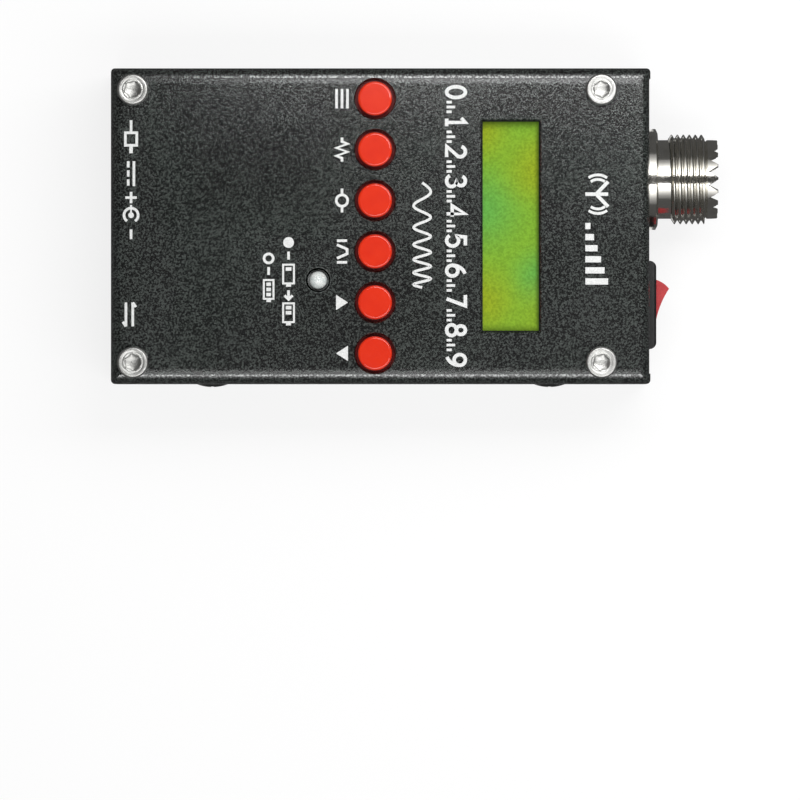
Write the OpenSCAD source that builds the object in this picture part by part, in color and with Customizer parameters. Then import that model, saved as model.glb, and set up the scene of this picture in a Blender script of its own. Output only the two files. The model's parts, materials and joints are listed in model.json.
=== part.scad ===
// Hand-held antenna analyzer: a folded sheet case with six keys, a small display, a charge lamp,
// a screw-on antenna socket, a rocker power switch and two charging sockets.
// The origin is the middle of the back face. +X points to the antenna socket, +Z out of the front.

/* [Case] */
// Length of the folded case, without what stands out of its ends
case_l = 95; // [90:1:120]
// Width of the case, along the row of keys
case_w = 55.6; // [55:0.2:75]
// Height from the back face to the front face
case_h = 24; // [23:0.5:32]
// Thickness of the folded sheet
sheet_t = 1; // [0.8:0.1:1.2]
// Outer radius of the front shell's folded edges
bend_r = 1.7; // [1.4:0.1:2.4]
// Radius of the flanges' filed corners, seen from the front
corner_r = 0.8; // [0.4:0.1:1.2]
// How far the socket end stands back from the ends of the long flanges
end_step = 0.2; // [0.1:0.1:0.5]
// Width of the corner ears that the long flanges leave at the socket end
ear_w = 1.85; // [1.4:0.05:2.4]
// Open seam between an end flange and a long flange
seam = 0.15; // [0.1:0.05:0.3]
// Height of the rear shell's flanges
tray_h = 10; // [8:0.5:10.5]
// Outer radius of the rear shell's folded edges
tray_r = 1.5; // [1.3:0.1:1.8]
// Gap all round between the two shells
tray_gap = 0.2; // [0.1:0.05:0.3]
// How far the front shell's rim stays above the back face
rim_lift = 0.2; // [0.1:0.1:0.5]
// Width of the rear shell's flange that is cut away for the antenna nut
tray_cut_w = 18.2; // [18:0.2:20]
// How far the flat tab at that cut runs into the bend
tray_tab = 0.8; // [0.4:0.1:1]
// Bevel round the holes punched in the face
punch_edge = 0.2; // [0.1:0.05:0.4]

/* [Fasteners] */
// Diameter of all screws
screw_d = 3; // [2.5:0.1:3]
// Clearance on the radius where a screw passes through sheet or board
screw_gap = 0.12; // [0.05:0.01:0.2]
// Clearance on the radius in a threaded hole
thread_gap = 0.02; // [0.01:0.01:0.04]
// From each long edge of the case to the face screws
face_inset_y = 3.8; // [3.7:0.1:4.5]
// From the charging end of the case to the face screws
face_inset_charge = 3.9; // [3.8:0.1:5]
// From the socket end of the case to the face screws
face_inset_socket = 8.7; // [7:0.1:9.5]
// Head diameter of the face screws
face_head_d = 5.5; // [5:0.1:6]
// Head height of the face screws
face_head_h = 2; // [1.6:0.1:3]
// Hexagon socket of the face screws, across flats
hex_af = 2.5; // [2:0.1:2.5]
// Depth of that hexagon socket
hex_depth = 1.3; // [0.8:0.1:1.5]
// Shank length of the face screws
face_screw_l = 6; // [4:0.5:6]
// Diameter of the pillars that carry the board
pillar_d = 5; // [4.4:0.1:5]
// Length of the pillars
pillar_l = 8.6; // [8.6:0.1:9.2]
// Head diameter of the board screws
board_head_d = 5.2; // [4.6:0.1:5.2]
// Head height of the board screws
board_head_h = 1.8; // [1.4:0.1:2]
// Shank length of the board screws
board_screw_l = 4; // [3:0.5:4]
// From the middle of the case to the side screws
side_screw_x = 30; // [24:1:34]
// Height of the side screws above the back face
side_screw_z = 5.5; // [5:0.1:6.5]
// Head diameter of the side screws
side_head_d = 5.5; // [5:0.1:6]
// Head height of the side screws
side_head_h = 0.5; // [0.4:0.1:1]
// Shank length of the side screws
side_screw_l = 5; // [4:0.5:6]
// Width of the cross recesses' blades
cross_w = 0.5; // [0.4:0.05:0.7]
// Span of the cross recesses
cross_l = 2.4; // [2:0.1:3]
// Diameter of the clinch nuts behind the side screws
clinch_d = 5.6; // [5:0.1:6]
// Thickness of the clinch nuts
clinch_t = 1.6; // [1.2:0.1:2]

/* [Keys] */
// Place of the key row along the case
key_x = -1; // [-2:0.1:1]
// From each long edge of the case to the middle of the nearest key
key_margin = 5.4; // [5:0.05:5.8]
// Diameter of a key cap
key_d = 6; // [5.6:0.1:6.2]
// Gap round a key cap in its hole, on the radius
key_gap = 0.5; // [0.3:0.05:0.6]
// Height of a key cap above the face
key_proud = 1.5; // [0.8:0.1:2.5]
// Rounding of a key cap's edge
key_edge = 0.4; // [0.2:0.1:0.8]
// Space between the collars that keep two neighbouring caps behind the face
collar_space = 1.1; // [0.8:0.1:1.4]
// Thickness of that collar
collar_t = 0.8; // [0.6:0.1:1.2]
// Gap between the collar and the face at rest
collar_gap = 0.5; // [0.4:0.1:0.8]
// Travel of a key
key_travel = 0.25; // [0.2:0.05:0.3]
// Diameter of a switch plunger
plunger_d = 3.4; // [3:0.1:3.6]
// How far a plunger reaches into its cap
plunger_grip = 2.6; // [2:0.1:3]
// Side of a key switch
switch_side = 6; // [5.6:0.1:6.2]
// Height of a key switch with its cover
switch_h = 3.5; // [3.2:0.1:3.8]

/* [Display] */
// Place of the display window along the case
window_x = 22.9; // [21:0.05:24]
// Window size along the case
window_w = 10.3; // [8:0.1:11]
// Window size across the case
window_l = 37.2; // [30:0.1:38]
// Thickness of the soft gasket behind the window
gasket_t = 0.5; // [0.3:0.1:0.8]
// Width of the gasket's band outside the window
gasket_w = 1.6; // [1.2:0.1:1.8]
// How far the gasket's inner edge shows inside the window
gasket_lip = 0.2; // [0.05:0.05:0.4]
// How far the display glass runs past the window on each side
glass_over = 1.9; // [1.8:0.1:2.4]
// Thickness of one glass plate
plate_t = 0.95; // [0.7:0.05:1.1]
// Width of the rear plate's contact ledge
ledge_w = 2.2; // [1.6:0.1:2.6]
// Thickness of the light box behind the glass
light_t = 2.6; // [2:0.1:3]
// Diameter of the light box's feet
foot_d = 2.4; // [1.6:0.1:2.6]

/* [Charge lamp] */
// Place of the lamp along the case
lamp_x = -11; // [-13:0.1:-9.5]
// Place of the lamp across the case
lamp_y = -9.5; // [-16:0.1:16]
// Diameter of the lamp's lens
lamp_d = 3.1; // [3:0.1:3.4]
// Diameter of the hole in the face
lamp_hole_d = 4.3; // [4:0.1:5]
// Height of the lens above the face
lamp_proud = 0.9; // [0.3:0.1:1.5]
// Length of the lamp from its rim to the top of its lens
lamp_l = 5.3; // [4.5:0.1:5.6]

/* [Antenna socket] */
// Place of the socket across the case
socket_y = 8.5; // [7:0.1:10]
// Outside diameter of the thread, a 5/8 inch standard
thread_d = 15.875; // [15.6:0.005:16.2]
// Pitch of the thread, 24 to the inch
thread_pitch = 1.058; // [1:0.002:1.1]
// Width of the flat on top of each thread
thread_flat = 0.16; // [0.1:0.01:0.2]
// Diameter of the plain neck and of the toothed crown
neck_d = 13.95; // [13.6:0.05:14.2]
// Diameter of the flange against the panel
flange_d = 17.9; // [17:0.1:18.4]
// Thickness of that flange
flange_t = 1.7; // [1:0.1:2]
// Width of the bevel on that flange's front edge
flange_bevel_w = 0.7; // [0.3:0.05:0.9]
// Height of the bevel on that flange's front edge
flange_bevel_h = 0.35; // [0.2:0.05:0.6]
// From the panel to the first thread's top
thread_start = 4.2; // [3.6:0.05:4.6]
// From the panel to the tips of the crown's teeth
socket_l = 12.3; // [12:0.1:13.4]
// Depth of the crown's teeth
tooth_depth = 1.7; // [1.2:0.05:2]
// Width of the relief groove behind the crown
relief_w = 0.5; // [0.3:0.05:0.6]
// Depth of that groove
relief_depth = 0.25; // [0.1:0.05:0.4]
// Diameter of the open mouth
mouth_d = 12.2; // [11.8:0.1:12.4]
// Depth of the mouth down to the insulator
mouth_depth = 4.5; // [4:0.1:5]
// Bore of the centre contact
contact_d = 4; // [3.9:0.02:4.1]
// Wall of the centre contact
contact_wall = 0.4; // [0.3:0.05:0.5]
// Depth of the centre contact's bore
contact_depth = 12; // [9:0.5:12]
// Diameter of the threaded stub behind the panel
stub_d = 14; // [13:0.1:14]
// Socket nut, across flats
nut_af = 17; // [16.4:0.1:17.4]
// Thickness of the socket nut
nut_t = 2.5; // [2:0.1:3]
// Thickness of the lock washer
washer_t = 0.6; // [0.4:0.1:0.8]
// Thickness of the ground tag
tag_t = 0.5; // [0.3:0.1:0.6]

/* [Power switch] */
// From the long edge of the case to the middle of the switch
rocker_inset = 14; // [13.6:0.1:14.4]
// Length of the bezel
bezel_l = 15.6; // [14.6:0.1:15.8]
// Width of the bezel
bezel_w = 10.5; // [10:0.1:11.5]
// How far the bezel stands out of the panel
bezel_t = 1.4; // [0.8:0.1:1.6]
// Rounding of the bezel's long edges
bezel_side_r = 0.6; // [0.3:0.05:0.7]
// Rounding of the bezel's two ends
bezel_end_r = 1.2; // [0.4:0.05:1.3]
// Length of the switch body in the panel
body_l = 13; // [12.4:0.1:13]
// Width of the switch body
body_w = 8.6; // [8.4:0.1:9]
// Depth of the switch body behind the panel's face
body_depth = 10; // [9:0.5:11]
// Gap round the switch body in the panel
body_gap = 0.15; // [0.1:0.05:0.25]
// Radius from the rocker's pivot to its tips
rocker_r = 4.7; // [4.4:0.1:4.9]
// Width of the rocker along its pivot
rocker_w = 6.8; // [6:0.1:6.8]
// Gap round the rocker in its well
rocker_gap = 0.12; // [0.1:0.02:0.2]
// Tilt of the rocker to each side of the middle
rocker_tilt = 19; // [14:1:20]
// Angle between the rocker's middle and each tip
tip_angle = 57; // [52:1:60]
// Hollow of the rocker's top below the line between its tips
saddle = 0.5; // [0.3:0.05:0.8]
// Depth of the pivot behind the panel's face
pivot_depth = 0; // [0:0.05:0.4]
// Diameter of the rocker's pivot studs
stud_d = 2; // [1.6:0.1:2]
// Running clearance of the studs, on the radius
stud_gap = 0.03; // [0.02:0.01:0.06]
// Length of a pivot stud
stud_l = 0.5; // [0.4:0.05:0.5]

/* [Charging sockets] */
// Place of the power socket across the case
jack_y = 8.5; // [6.5:0.1:12]
// Width of the power socket's body
jack_w = 9; // [8.4:0.1:9.4]
// Height of the power socket's body
jack_h = 9.6; // [9:0.1:9.8]
// Length of the power socket's body
jack_l = 13; // [12:0.1:13.2]
// Bore of the power socket
jack_bore_d = 6.2; // [6:0.1:6.4]
// Depth of that bore
jack_depth = 9.5; // [9:0.1:10]
// Diameter of the power socket's centre pin
jack_pin_d = 2; // [2:0.1:2.5]
// Diameter of the hole in the end panel
jack_hole_d = 7.6; // [7:0.1:8]
// From the long edge of the case to the middle of the data socket
usb_inset = 12.3; // [10.6:0.1:14]
// Width of the data socket
usb_w = 7.7; // [7.5:0.1:8]
// Height of the data socket
usb_h = 3.9; // [3.8:0.1:4.2]
// Length of the data socket
usb_l = 9.2; // [8:0.1:9.6]
// Sheet thickness of the data socket's shell
usb_t = 0.35; // [0.3:0.05:0.4]
// Gap round the data socket in the end panel
usb_gap = 0.35; // [0.2:0.05:0.5]

/* [Board and battery] */
// Thickness of the circuit board
board_t = 1.6; // [1.2:0.1:1.6]
// Gap between the board and the front shell
board_gap = 0.3; // [0.2:0.05:0.5]
// Gap between the board and what stands in its cut-outs
cut_gap = 0.4; // [0.3:0.05:0.5]
// Length of a battery cell
cell_l = 48; // [40:1:50]
// Width of a battery cell
cell_w = 36; // [30:1:42]
// Thickness of a battery cell
cell_t = 2.8; // [2.4:0.1:2.9]
// Gap between two battery cells
cell_gap = 0.1; // [0.05:0.05:0.2]
// Thickness of the tape under the battery
tape_t = 0.3; // [0.2:0.1:0.5]
// Width of the guard board at the end of the battery
guard_l = 28; // [20:1:30]
// Gap between the foam pad and the board
pad_gap = 0.3; // [0.2:0.05:0.5]
// Radius of the insulated wires
wire_r = 0.6; // [0.4:0.05:0.6]

/* [Board parts] */
// Side of the controller chip
controller_side = 10; // [8:0.5:12]
// Thickness of the controller chip
controller_h = 1.5; // [1:0.1:2]
// Legs on each side of the controller chip
controller_legs = 11; // [8:1:12]
// Length of the synthesizer chip
synthesizer_l = 10.2; // [9:0.1:11]
// Width of the synthesizer chip
synthesizer_w = 5.3; // [4.4:0.1:6]
// Thickness of the synthesizer chip
synthesizer_h = 1.8; // [1.2:0.1:2]
// Legs on each side of the synthesizer chip
synthesizer_legs = 14; // [10:1:14]
// Length of the data chip
data_chip_l = 9.9; // [8:0.1:10.5]
// Width of the data chip
data_chip_w = 3.9; // [3.5:0.1:4.4]
// Thickness of the data chip
data_chip_h = 1.6; // [1.2:0.1:2]
// Legs on each side of the data chip
data_chip_legs = 8; // [6:1:8]
// Length of the clock can's base
clock_l = 11.4; // [10:0.1:11.4]
// Width of the clock can's base
clock_w = 5; // [4.6:0.1:5.2]
// Height of the clock can
clock_h = 3.6; // [2.5:0.1:4]
// Side of the supply coil's base
coil_side = 7; // [6:0.1:7.4]
// Height of the supply coil
coil_h = 4; // [2.5:0.1:5]
// Side of a smoothing capacitor's base
capacitor_side = 5.6; // [5:0.1:6]
// Height of a smoothing capacitor
capacitor_h = 5.6; // [4:0.1:6.5]
// Outside diameter of the bridge's ferrite ring
core_d = 7.2; // [6:0.1:7.4]
// Hole in the ferrite ring
core_hole_d = 3.2; // [2.4:0.1:3.8]
// Thickness of the ferrite ring
core_h = 2.8; // [2:0.1:2.8]

/* [Hidden] */
$fn = 64;
far = 200;
skim = 1;

// Planes of the case
left_x = -case_l / 2;
right_x = case_l / 2 - end_step;
panel_l = right_x - left_x;
panel_mid = (left_x + right_x) / 2;
left_in = left_x + sheet_t;
right_in = right_x - sheet_t;
wall_in = case_w / 2 - sheet_t;
face_in = case_h - sheet_t;
mid_z = case_h / 2;
tray_l = panel_l - 2 * sheet_t - 2 * tray_gap;
tray_w = case_w - 2 * sheet_t - 2 * tray_gap;
tray_end = right_in - tray_gap;
tray_wall_in = tray_w / 2 - sheet_t;
inner_corner_r = 0.3;
window_corner_r = 0.25;
fold_in_r = bend_r - sheet_t;
tab_root = 0.5;
seam_past = 0.6;

// Board stack, from the face inward
board_top = face_in - pillar_l;
board_low = board_top - board_t;
board_left = left_in + board_gap;
board_right = right_in - 5 * board_gap;
head_edge = 0.45;
board_half = wall_in - board_gap;
screw_r = screw_d / 2;
hole_r = screw_r + screw_gap;
face_screw_xs = [left_x + face_inset_charge, case_l / 2 - face_inset_socket];
face_screw_y = case_w / 2 - face_inset_y;

// Keys
key_count = 6;
key_pitch = (case_w - 2 * key_margin) / (key_count - 1);
key_top = case_h + key_proud;
collar_r = (key_pitch - collar_space) / 2;
collar_top = face_in - collar_gap;
cover_t = 0.3;
cover_top = board_top + switch_h;
cap_over_cover = 0.45;
cap_low = cover_top + key_travel + cap_over_cover;
plunger_top = cap_low + plunger_grip;
plunger_r = plunger_d / 2;
plunger_gap = 0.1;
cap_grip_gap = 0.01;
plunger_foot_out = 0.4;
plunger_foot_r = plunger_r + plunger_foot_out;
plunger_foot_t = 0.8;
switch_floor = 0.5;
plunger_spare = 0.05;
plunger_low = board_top + switch_floor + key_travel + plunger_spare;

// Display stack
glass_seal = 1.2;
glass_w = window_w + 2 * glass_over;
glass_l = window_l + 2 * glass_over + 2 * glass_seal;
glass_top = face_in - gasket_t;
glass_low = glass_top - 2 * plate_t;
light_low = glass_low - light_t;
light_short = 0.6;
foot_x = 4.5;
foot_y = window_l / 2 - 1.4;
pin_pitch = 2.4;
pin_w = 0.6;
pin_d = 0.3;
pin_pad_t = 0.2;
pin_gap = 0.05;
pin_row_end = 2;

// Lamp
lamp_top = case_h + lamp_proud;
lamp_low = lamp_top - lamp_l;
lamp_rim_r = lamp_d / 2 + 0.35;
lamp_rim_t = 1;
lead_pitch = 1.27;
lead_r = 0.25;
lead_gap = 0.1;

// Antenna socket, as distances out of the panel's face
thread_r = thread_d / 2;
root_r = thread_r - 0.6134 * thread_pitch;
neck_r = neck_d / 2;
thread_turns = 6;
tooth_count = 18;
notch_share = 0.88;
relief_gap = 0.05;
relief_high = socket_l - tooth_depth - relief_gap;
relief_low = relief_high - relief_w;
insulator_face = socket_l - mouth_depth;
seat_r = mouth_d / 2 - 0.3;
seat_low = 2;
insulator_gap = 0.05;
insulator_tail = 0.8;
stub_bore_r = 4.6;
nut_gap = 0.02;
washer_teeth = 12;
washer_slot_l = 0.9;
washer_slot_w = 1.2;
tag_rim = 0.3;
tag_tail_w = 2.4;
tag_tail_l = 6;
tag_tail_out = 3.5;
nut_face = -sheet_t - tag_t - washer_t;
stub_past_nut = 0.5;
stub_end = nut_face - nut_t - stub_past_nut;
contact_r = contact_d / 2 + contact_wall;
contact_mouth = insulator_face;
contact_floor = contact_mouth - contact_depth;
contact_web = 0.5;
slit_l = 5;
slit_w = 0.4;
tail_r = 1.5;
tail_l = 5;
contact_tail = contact_floor - tail_l;
cup_r = 0.7;
cup_depth = 2;
antenna_wire_r = 0.5;
lead_l = 3;
post_r = 0.9;

// Power switch, as distances out of the panel's face
rocker_y = rocker_inset - case_w / 2;
well_l = 2 * (rocker_r + rocker_gap);
well_w = rocker_w + 2 * rocker_gap;
well_spare = 1;
well_floor = -pivot_depth - rocker_r - well_spare;
rocker_base = 1.8;
rocker_foot_w = 2.2;
rocker_foot_end = 3.9;
strip_l = 7;
strip_w = 3;
strip_t = 0.5;
terminal_w = 2.8;
terminal_t = 0.8;
terminal_l = 5.5;
terminal_end = -body_depth - terminal_l;
terminal_pitch = 6.4;
switch_lead_l = 4;
switch_post_x = 3.2;
switch_post_r = 0.8;
clip_out = 0.5;
clip_gap = 0.1;
clip_l = 3.4;
clip_root = 1;

// Charging sockets
jack_top = board_low;
jack_low = jack_top - jack_h;
jack_axis_z = jack_low + jack_h / 2;
jack_face = left_in + 0.1;
pin_nose = 1.2;
rivet_gap = 0.02;
rivet_head = 0.4;
rivet_end = 0.4;
spring_x = 4;
spring_slot = 2;
spring_gap = 0.2;
spring_in = 0.4;
usb_y = usb_inset - case_w / 2;
usb_face = left_x + 0.3;
usb_z = board_top + usb_h / 2;
usb_back = 1;
usb_step_w = 0.75;
usb_step_h = 0.35;
usb_waist = 0.5;
tongue_in = 1.2;
tongue_l = usb_l - usb_back - tongue_in;
tongue_w = 4;
tongue_t = 0.9;
tongue_low = 0.3;

// Battery
cell_count = 3;
cell_corner_r = 1.2;
tape_margin = 3;
pad_margin_l = 5;
pad_margin_w = 4;
battery_low = sheet_t + tape_t;
cell_step = cell_t + cell_gap;
battery_top = battery_low + cell_count * cell_step - cell_gap;
guard_t = 1;
plug_l = 4.5;
plug_w = 7;
plug_x = -cell_l / 2 - guard_t - 2.5;
plug_low = battery_top - 1.9;
lead_z = battery_top - 0.9;
lead_spread = 1.5;

// Places of the larger parts on the board
part_gap = 0.9;
chip_x = key_x - 26;
controller_y = 3;
synthesizer_y = 17;
clock_x = key_x - 14;
capacitor_x = left_in + 6.5;
capacitor_step = capacitor_side + part_gap;
capacitor_y = usb_y + (usb_w + capacitor_side) / 2 + 2 * part_gap;
coil_x = left_in + 8.5;
coil_y = capacitor_y + capacitor_step + (capacitor_side + coil_side) / 2 + 3 * part_gap;
core_x = right_x + contact_tail - lead_l - core_d / 2 - 1.7;
leg_l = 0.9;
leg_t = 0.3;
leg_tuck = 0.1;
leg_margin = 0.8;

function key_y(i) = case_w / 2 - key_margin - (i - 1) * key_pitch;

// ---- shared shapes ----

// Rectangle with round corners, centred
module round_rect(l, w, r) {
    square([l - 2 * r, w], center = true);
    square([l, w - 2 * r], center = true);
    for (x = [-1, 1], y = [-1, 1])
        translate([x * (l / 2 - r), y * (w / 2 - r)]) circle(r);
}

// Outline of a fold seen from its end: two round corners at the top, square at the bottom
module fold_outline(w, h, r) {
    translate([-w / 2, 0]) square([w, h - r]);
    translate([r - w / 2, 0]) square([w - 2 * r, h]);
    for (x = [-1, 1]) translate([x * (w / 2 - r), h - r]) circle(r);
}

// Block whose four top edges are folds of radius r and whose upright edges have radius c
module fold_block(l, w, h, r, c) {
    intersection() {
        rotate([90, 0, 0]) linear_extrude(w + 2 * skim, center = true) fold_outline(l, h, r);
        rotate([90, 0, 90]) linear_extrude(l + 2 * skim, center = true) fold_outline(w, h, r);
        translate([0, 0, -skim]) linear_extrude(h + 2 * skim) round_rect(l, w, c);
    }
}

// Disc standing on z = 0 with a rounded top edge
module round_edge_disc(r, h, edge) {
    rotate_extrude() {
        square([r, h - edge]);
        square([r - edge, h]);
        translate([r - edge, h - edge]) circle(edge);
    }
}

// Tube standing on z = 0
module tube(r_out, r_in, h) {
    difference() {
        cylinder(r = r_out, h = h);
        translate([0, 0, -skim]) cylinder(r = r_in, h = h + 2 * skim);
    }
}

// Centred box that stands on z = 0
module block(l, w, h) {
    translate([-l / 2, -w / 2, 0]) cube([l, w, h]);
}

// Hexagonal prism across flats af, with two flats facing +Y and -Y
module hex_prism(af, h) {
    cylinder(r = af / 2 / cos(30), h = h, $fn = 6);
}

// Places its children on the socket end's panel, with z pointing out of it
module on_socket_end(y, z) {
    translate([right_x, y, z]) rotate([0, 90, 0]) children();
}

// Places its children at the four face screws
module at_face_screws() {
    for (x = face_screw_xs, y = [-1, 1]) translate([x, y * face_screw_y, 0]) children();
}

// Places its children at the four side screws, with z pointing out of the long side
module at_side_screws() {
    for (x = [-1, 1], y = [-1, 1])
        translate([x * side_screw_x, y * case_w / 2, side_screw_z]) rotate([-y * 90, 0, 0]) children();
}

// Chip body with a row of legs on each long side
module leaded_chip(l, w, h, legs) {
    pitch = (l - 2 * leg_margin) / (legs - 1);
    translate([0, 0, leg_tuck]) block(l, w, h - leg_tuck);
    for (i = [0 : legs - 1], side = [-1, 1])
        translate([(i - (legs - 1) / 2) * pitch, side * (w / 2 + leg_l / 2 - leg_tuck), 0])
            block(pitch * 0.45, leg_l + 2 * leg_tuck, leg_t);
}

// ---- case ----

// Front: a face with four folded flanges, its corners seamed and its openings punched
module front_shell() {
    h = case_h - rim_lift;
    color([0.21, 0.23, 0.22])
    difference() {
        translate([0, 0, rim_lift])
        union() {
            translate([panel_mid, 0, 0]) fold_block(panel_l, case_w, h, bend_r, corner_r);
            intersection() {
                fold_block(case_l, case_w, h, bend_r, corner_r);
                for (y = [-1, 1]) translate([case_l / 4, y * (case_w / 2 - ear_w / 2), 0])
                    block(case_l / 2 + 2, ear_w, h);
            }
        }
        translate([panel_mid, 0, rim_lift - skim])
            fold_block(panel_l - 2 * sheet_t, case_w - 2 * sheet_t, h - sheet_t + skim,
                       fold_in_r, inner_corner_r);
        corner_seams(panel_mid, panel_l, wall_in, 0, case_h - bend_r);
        face_openings();
        end_openings();
        at_side_screws() translate([0, 0, -sheet_t - skim / 2]) cylinder(r = hole_r, h = sheet_t + skim);
    }
}

// Slots that free each end flange from the long flanges, between heights low and high
module corner_seams(mid, l, wall, low, high) {
    for (x = [-1, 1], y = [-1, 1])
        translate([mid + x * l / 2, y * (wall - seam / 2), low])
            block(2 * sheet_t + seam_past, seam, high - low);
}

// Holes punched in the face
module face_openings() {
    at_face_screws() cylinder(r = hole_r, h = far);
    for (i = [1 : key_count]) translate([key_x, key_y(i), 0]) punched_hole(key_d / 2 + key_gap);
    translate([window_x, 0, face_in - skim])
        linear_extrude(sheet_t + 2 * skim) round_rect(window_w, window_l, window_corner_r);
    translate([window_x, 0, case_h - punch_edge]) intersection() {
        rotate([90, 0, 0]) linear_extrude(far, center = true) bevel_outline(window_w);
        rotate([90, 0, 90]) linear_extrude(far, center = true) bevel_outline(window_l);
    }
    translate([lamp_x, lamp_y, 0]) punched_hole(lamp_hole_d / 2);
}

// Section of an opening of width w that widens by the punched edge as it rises
module bevel_outline(w) {
    rise = punch_edge + skim;
    polygon([[-w / 2, 0], [w / 2, 0], [w / 2 + rise, rise], [-w / 2 - rise, rise]]);
}

// Round hole through the face, bevelled at its outer edge
module punched_hole(r) {
    translate([0, 0, face_in - skim]) cylinder(r = r, h = sheet_t + 2 * skim);
    translate([0, 0, case_h - punch_edge])
        cylinder(r1 = r, r2 = r + punch_edge + skim, h = punch_edge + skim);
}

// Holes punched in the two end flanges
module end_openings() {
    on_socket_end(socket_y, mid_z)
        translate([0, 0, -sheet_t - skim]) cylinder(r = stub_d / 2 + screw_gap, h = sheet_t + 2 * skim);
    on_socket_end(rocker_y, mid_z)
        translate([0, 0, -sheet_t - skim])
            block(body_w + 2 * body_gap, body_l + 2 * body_gap, sheet_t + 2 * skim);
    translate([left_x - skim, jack_y, jack_axis_z]) rotate([0, 90, 0])
        cylinder(d = jack_hole_d, h = sheet_t + 2 * skim);
    translate([left_x - skim, usb_y, usb_z]) rotate([90, 0, 90])
        linear_extrude(sheet_t + 2 * skim) round_rect(usb_w + 2 * usb_gap, usb_h + 2 * usb_gap, 0.5);
}

// Back: a shallow tray that nests inside the front shell
module rear_shell() {
    color([0.22, 0.24, 0.23])
    difference() {
        union() {
            difference() {
                translate([panel_mid, 0, tray_h]) mirror([0, 0, 1])
                    fold_block(tray_l, tray_w, tray_h, tray_r, inner_corner_r);
                translate([tray_end, socket_y, -skim]) block(2 * tray_r, tray_cut_w, tray_h + 2 * skim);
            }
            translate([tray_end - tray_r - tab_root, socket_y - tray_cut_w / 2, 0])
                cube([tab_root + tray_tab, tray_cut_w, sheet_t]);
        }
        translate([panel_mid, 0, tray_h + skim]) mirror([0, 0, 1])
            fold_block(tray_l - 2 * sheet_t, tray_w - 2 * sheet_t, tray_h - sheet_t + skim,
                       tray_r - sheet_t, inner_corner_r);
        corner_seams(panel_mid, tray_l, tray_wall_in, tray_r, tray_h + skim);
        translate([tray_end, rocker_y, mid_z - body_w / 2 - cut_gap])
            block(4 * sheet_t, body_l + 2 * clip_out + 2 * cut_gap, far);
        translate([panel_mid - tray_l / 2, jack_y, jack_low - cut_gap])
            block(4 * sheet_t, jack_w + 2 * cut_gap, far);
        at_side_screws() translate([0, 0, -3 * sheet_t]) cylinder(r = hole_r, h = 3 * sheet_t);
    }
}

// ---- fasteners ----

// Hexagon socket screws through the face
module face_screws() {
    color([0.82, 0.82, 0.8])
    at_face_screws() {
        difference() {
            translate([0, 0, case_h]) round_edge_disc(face_head_d / 2, face_head_h, head_edge);
            translate([0, 0, case_h + face_head_h - hex_depth]) hex_prism(hex_af, hex_depth + skim);
        }
        translate([0, 0, case_h - face_screw_l]) cylinder(r = screw_r, h = face_screw_l);
    }
}

// Low domed screws through the long sides, with a cross recess
module side_screws() {
    dome_r = (pow(side_head_d / 2, 2) + pow(side_head_h, 2)) / (2 * side_head_h);
    color([0.13, 0.13, 0.13])
    at_side_screws() {
        difference() {
            intersection() {
                translate([0, 0, side_head_h - dome_r]) sphere(dome_r, $fn = 160);
                cylinder(d = side_head_d, h = side_head_h + skim);
            }
            for (a = [0, 90]) rotate([0, 0, a])
                translate([0, 0, side_head_h / 2]) block(cross_l, cross_w, side_head_h);
        }
        translate([0, 0, -side_screw_l]) cylinder(r = screw_r, h = side_screw_l);
    }
}

// Round nuts pressed into the rear shell's flanges
module clinch_nuts() {
    color([0.75, 0.75, 0.74])
    at_side_screws() translate([0, 0, -2 * sheet_t - tray_gap - clinch_t])
        tube(clinch_d / 2, screw_r + thread_gap, clinch_t);
}

// Pillars between the face and the board, bevelled at the top to clear the fold
module board_pillars() {
    color([0.8, 0.72, 0.45])
    at_face_screws() translate([0, 0, board_top])
        difference() {
            union() {
                cylinder(d = pillar_d, h = pillar_l - fold_in_r);
                translate([0, 0, pillar_l - fold_in_r])
                    cylinder(r1 = pillar_d / 2, r2 = pillar_d / 2 - fold_in_r, h = fold_in_r);
            }
            translate([0, 0, -skim]) cylinder(r = screw_r + thread_gap, h = pillar_l + 2 * skim);
        }
}

// Screws that hold the board on its pillars
module board_screws() {
    color([0.75, 0.75, 0.74])
    at_face_screws() {
        difference() {
            translate([0, 0, board_low]) mirror([0, 0, 1])
                round_edge_disc(board_head_d / 2, board_head_h, head_edge);
            for (a = [0, 90]) rotate([0, 0, a])
                translate([0, 0, board_low - board_head_h - skim])
                    block(cross_l, cross_w, board_head_h / 2 + skim);
        }
        translate([0, 0, board_low]) cylinder(r = screw_r, h = board_screw_l);
    }
}

// ---- keys ----

// Round key cap with a collar behind the face and a blind socket for its plunger
module key_cap(i) {
    color([0.93, 0.25, 0.15])
    translate([key_x, key_y(i), 0])
    difference() {
        union() {
            translate([0, 0, cap_low]) round_edge_disc(key_d / 2, key_top - cap_low, key_edge);
            translate([0, 0, collar_top - collar_t]) cylinder(r = collar_r, h = collar_t);
        }
        translate([0, 0, cap_low - skim])
            cylinder(r = plunger_r + cap_grip_gap, h = plunger_grip + skim);
    }
}

// Plunger whose foot is held under the switch cover
module key_plunger(i) {
    color([0.1, 0.1, 0.1])
    translate([key_x, key_y(i), plunger_low]) {
        cylinder(r = plunger_r, h = plunger_top - plunger_low);
        cylinder(r = plunger_foot_r, h = plunger_foot_t);
    }
}

// Moulded bases of the six key switches
module key_switch_bases() {
    color([0.12, 0.12, 0.12])
    for (i = [1 : key_count]) translate([key_x, key_y(i), board_top])
        difference() {
            block(switch_side, switch_side, switch_h - cover_t);
            translate([0, 0, switch_floor]) cylinder(r = plunger_foot_r + plunger_gap, h = switch_h);
        }
}

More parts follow.
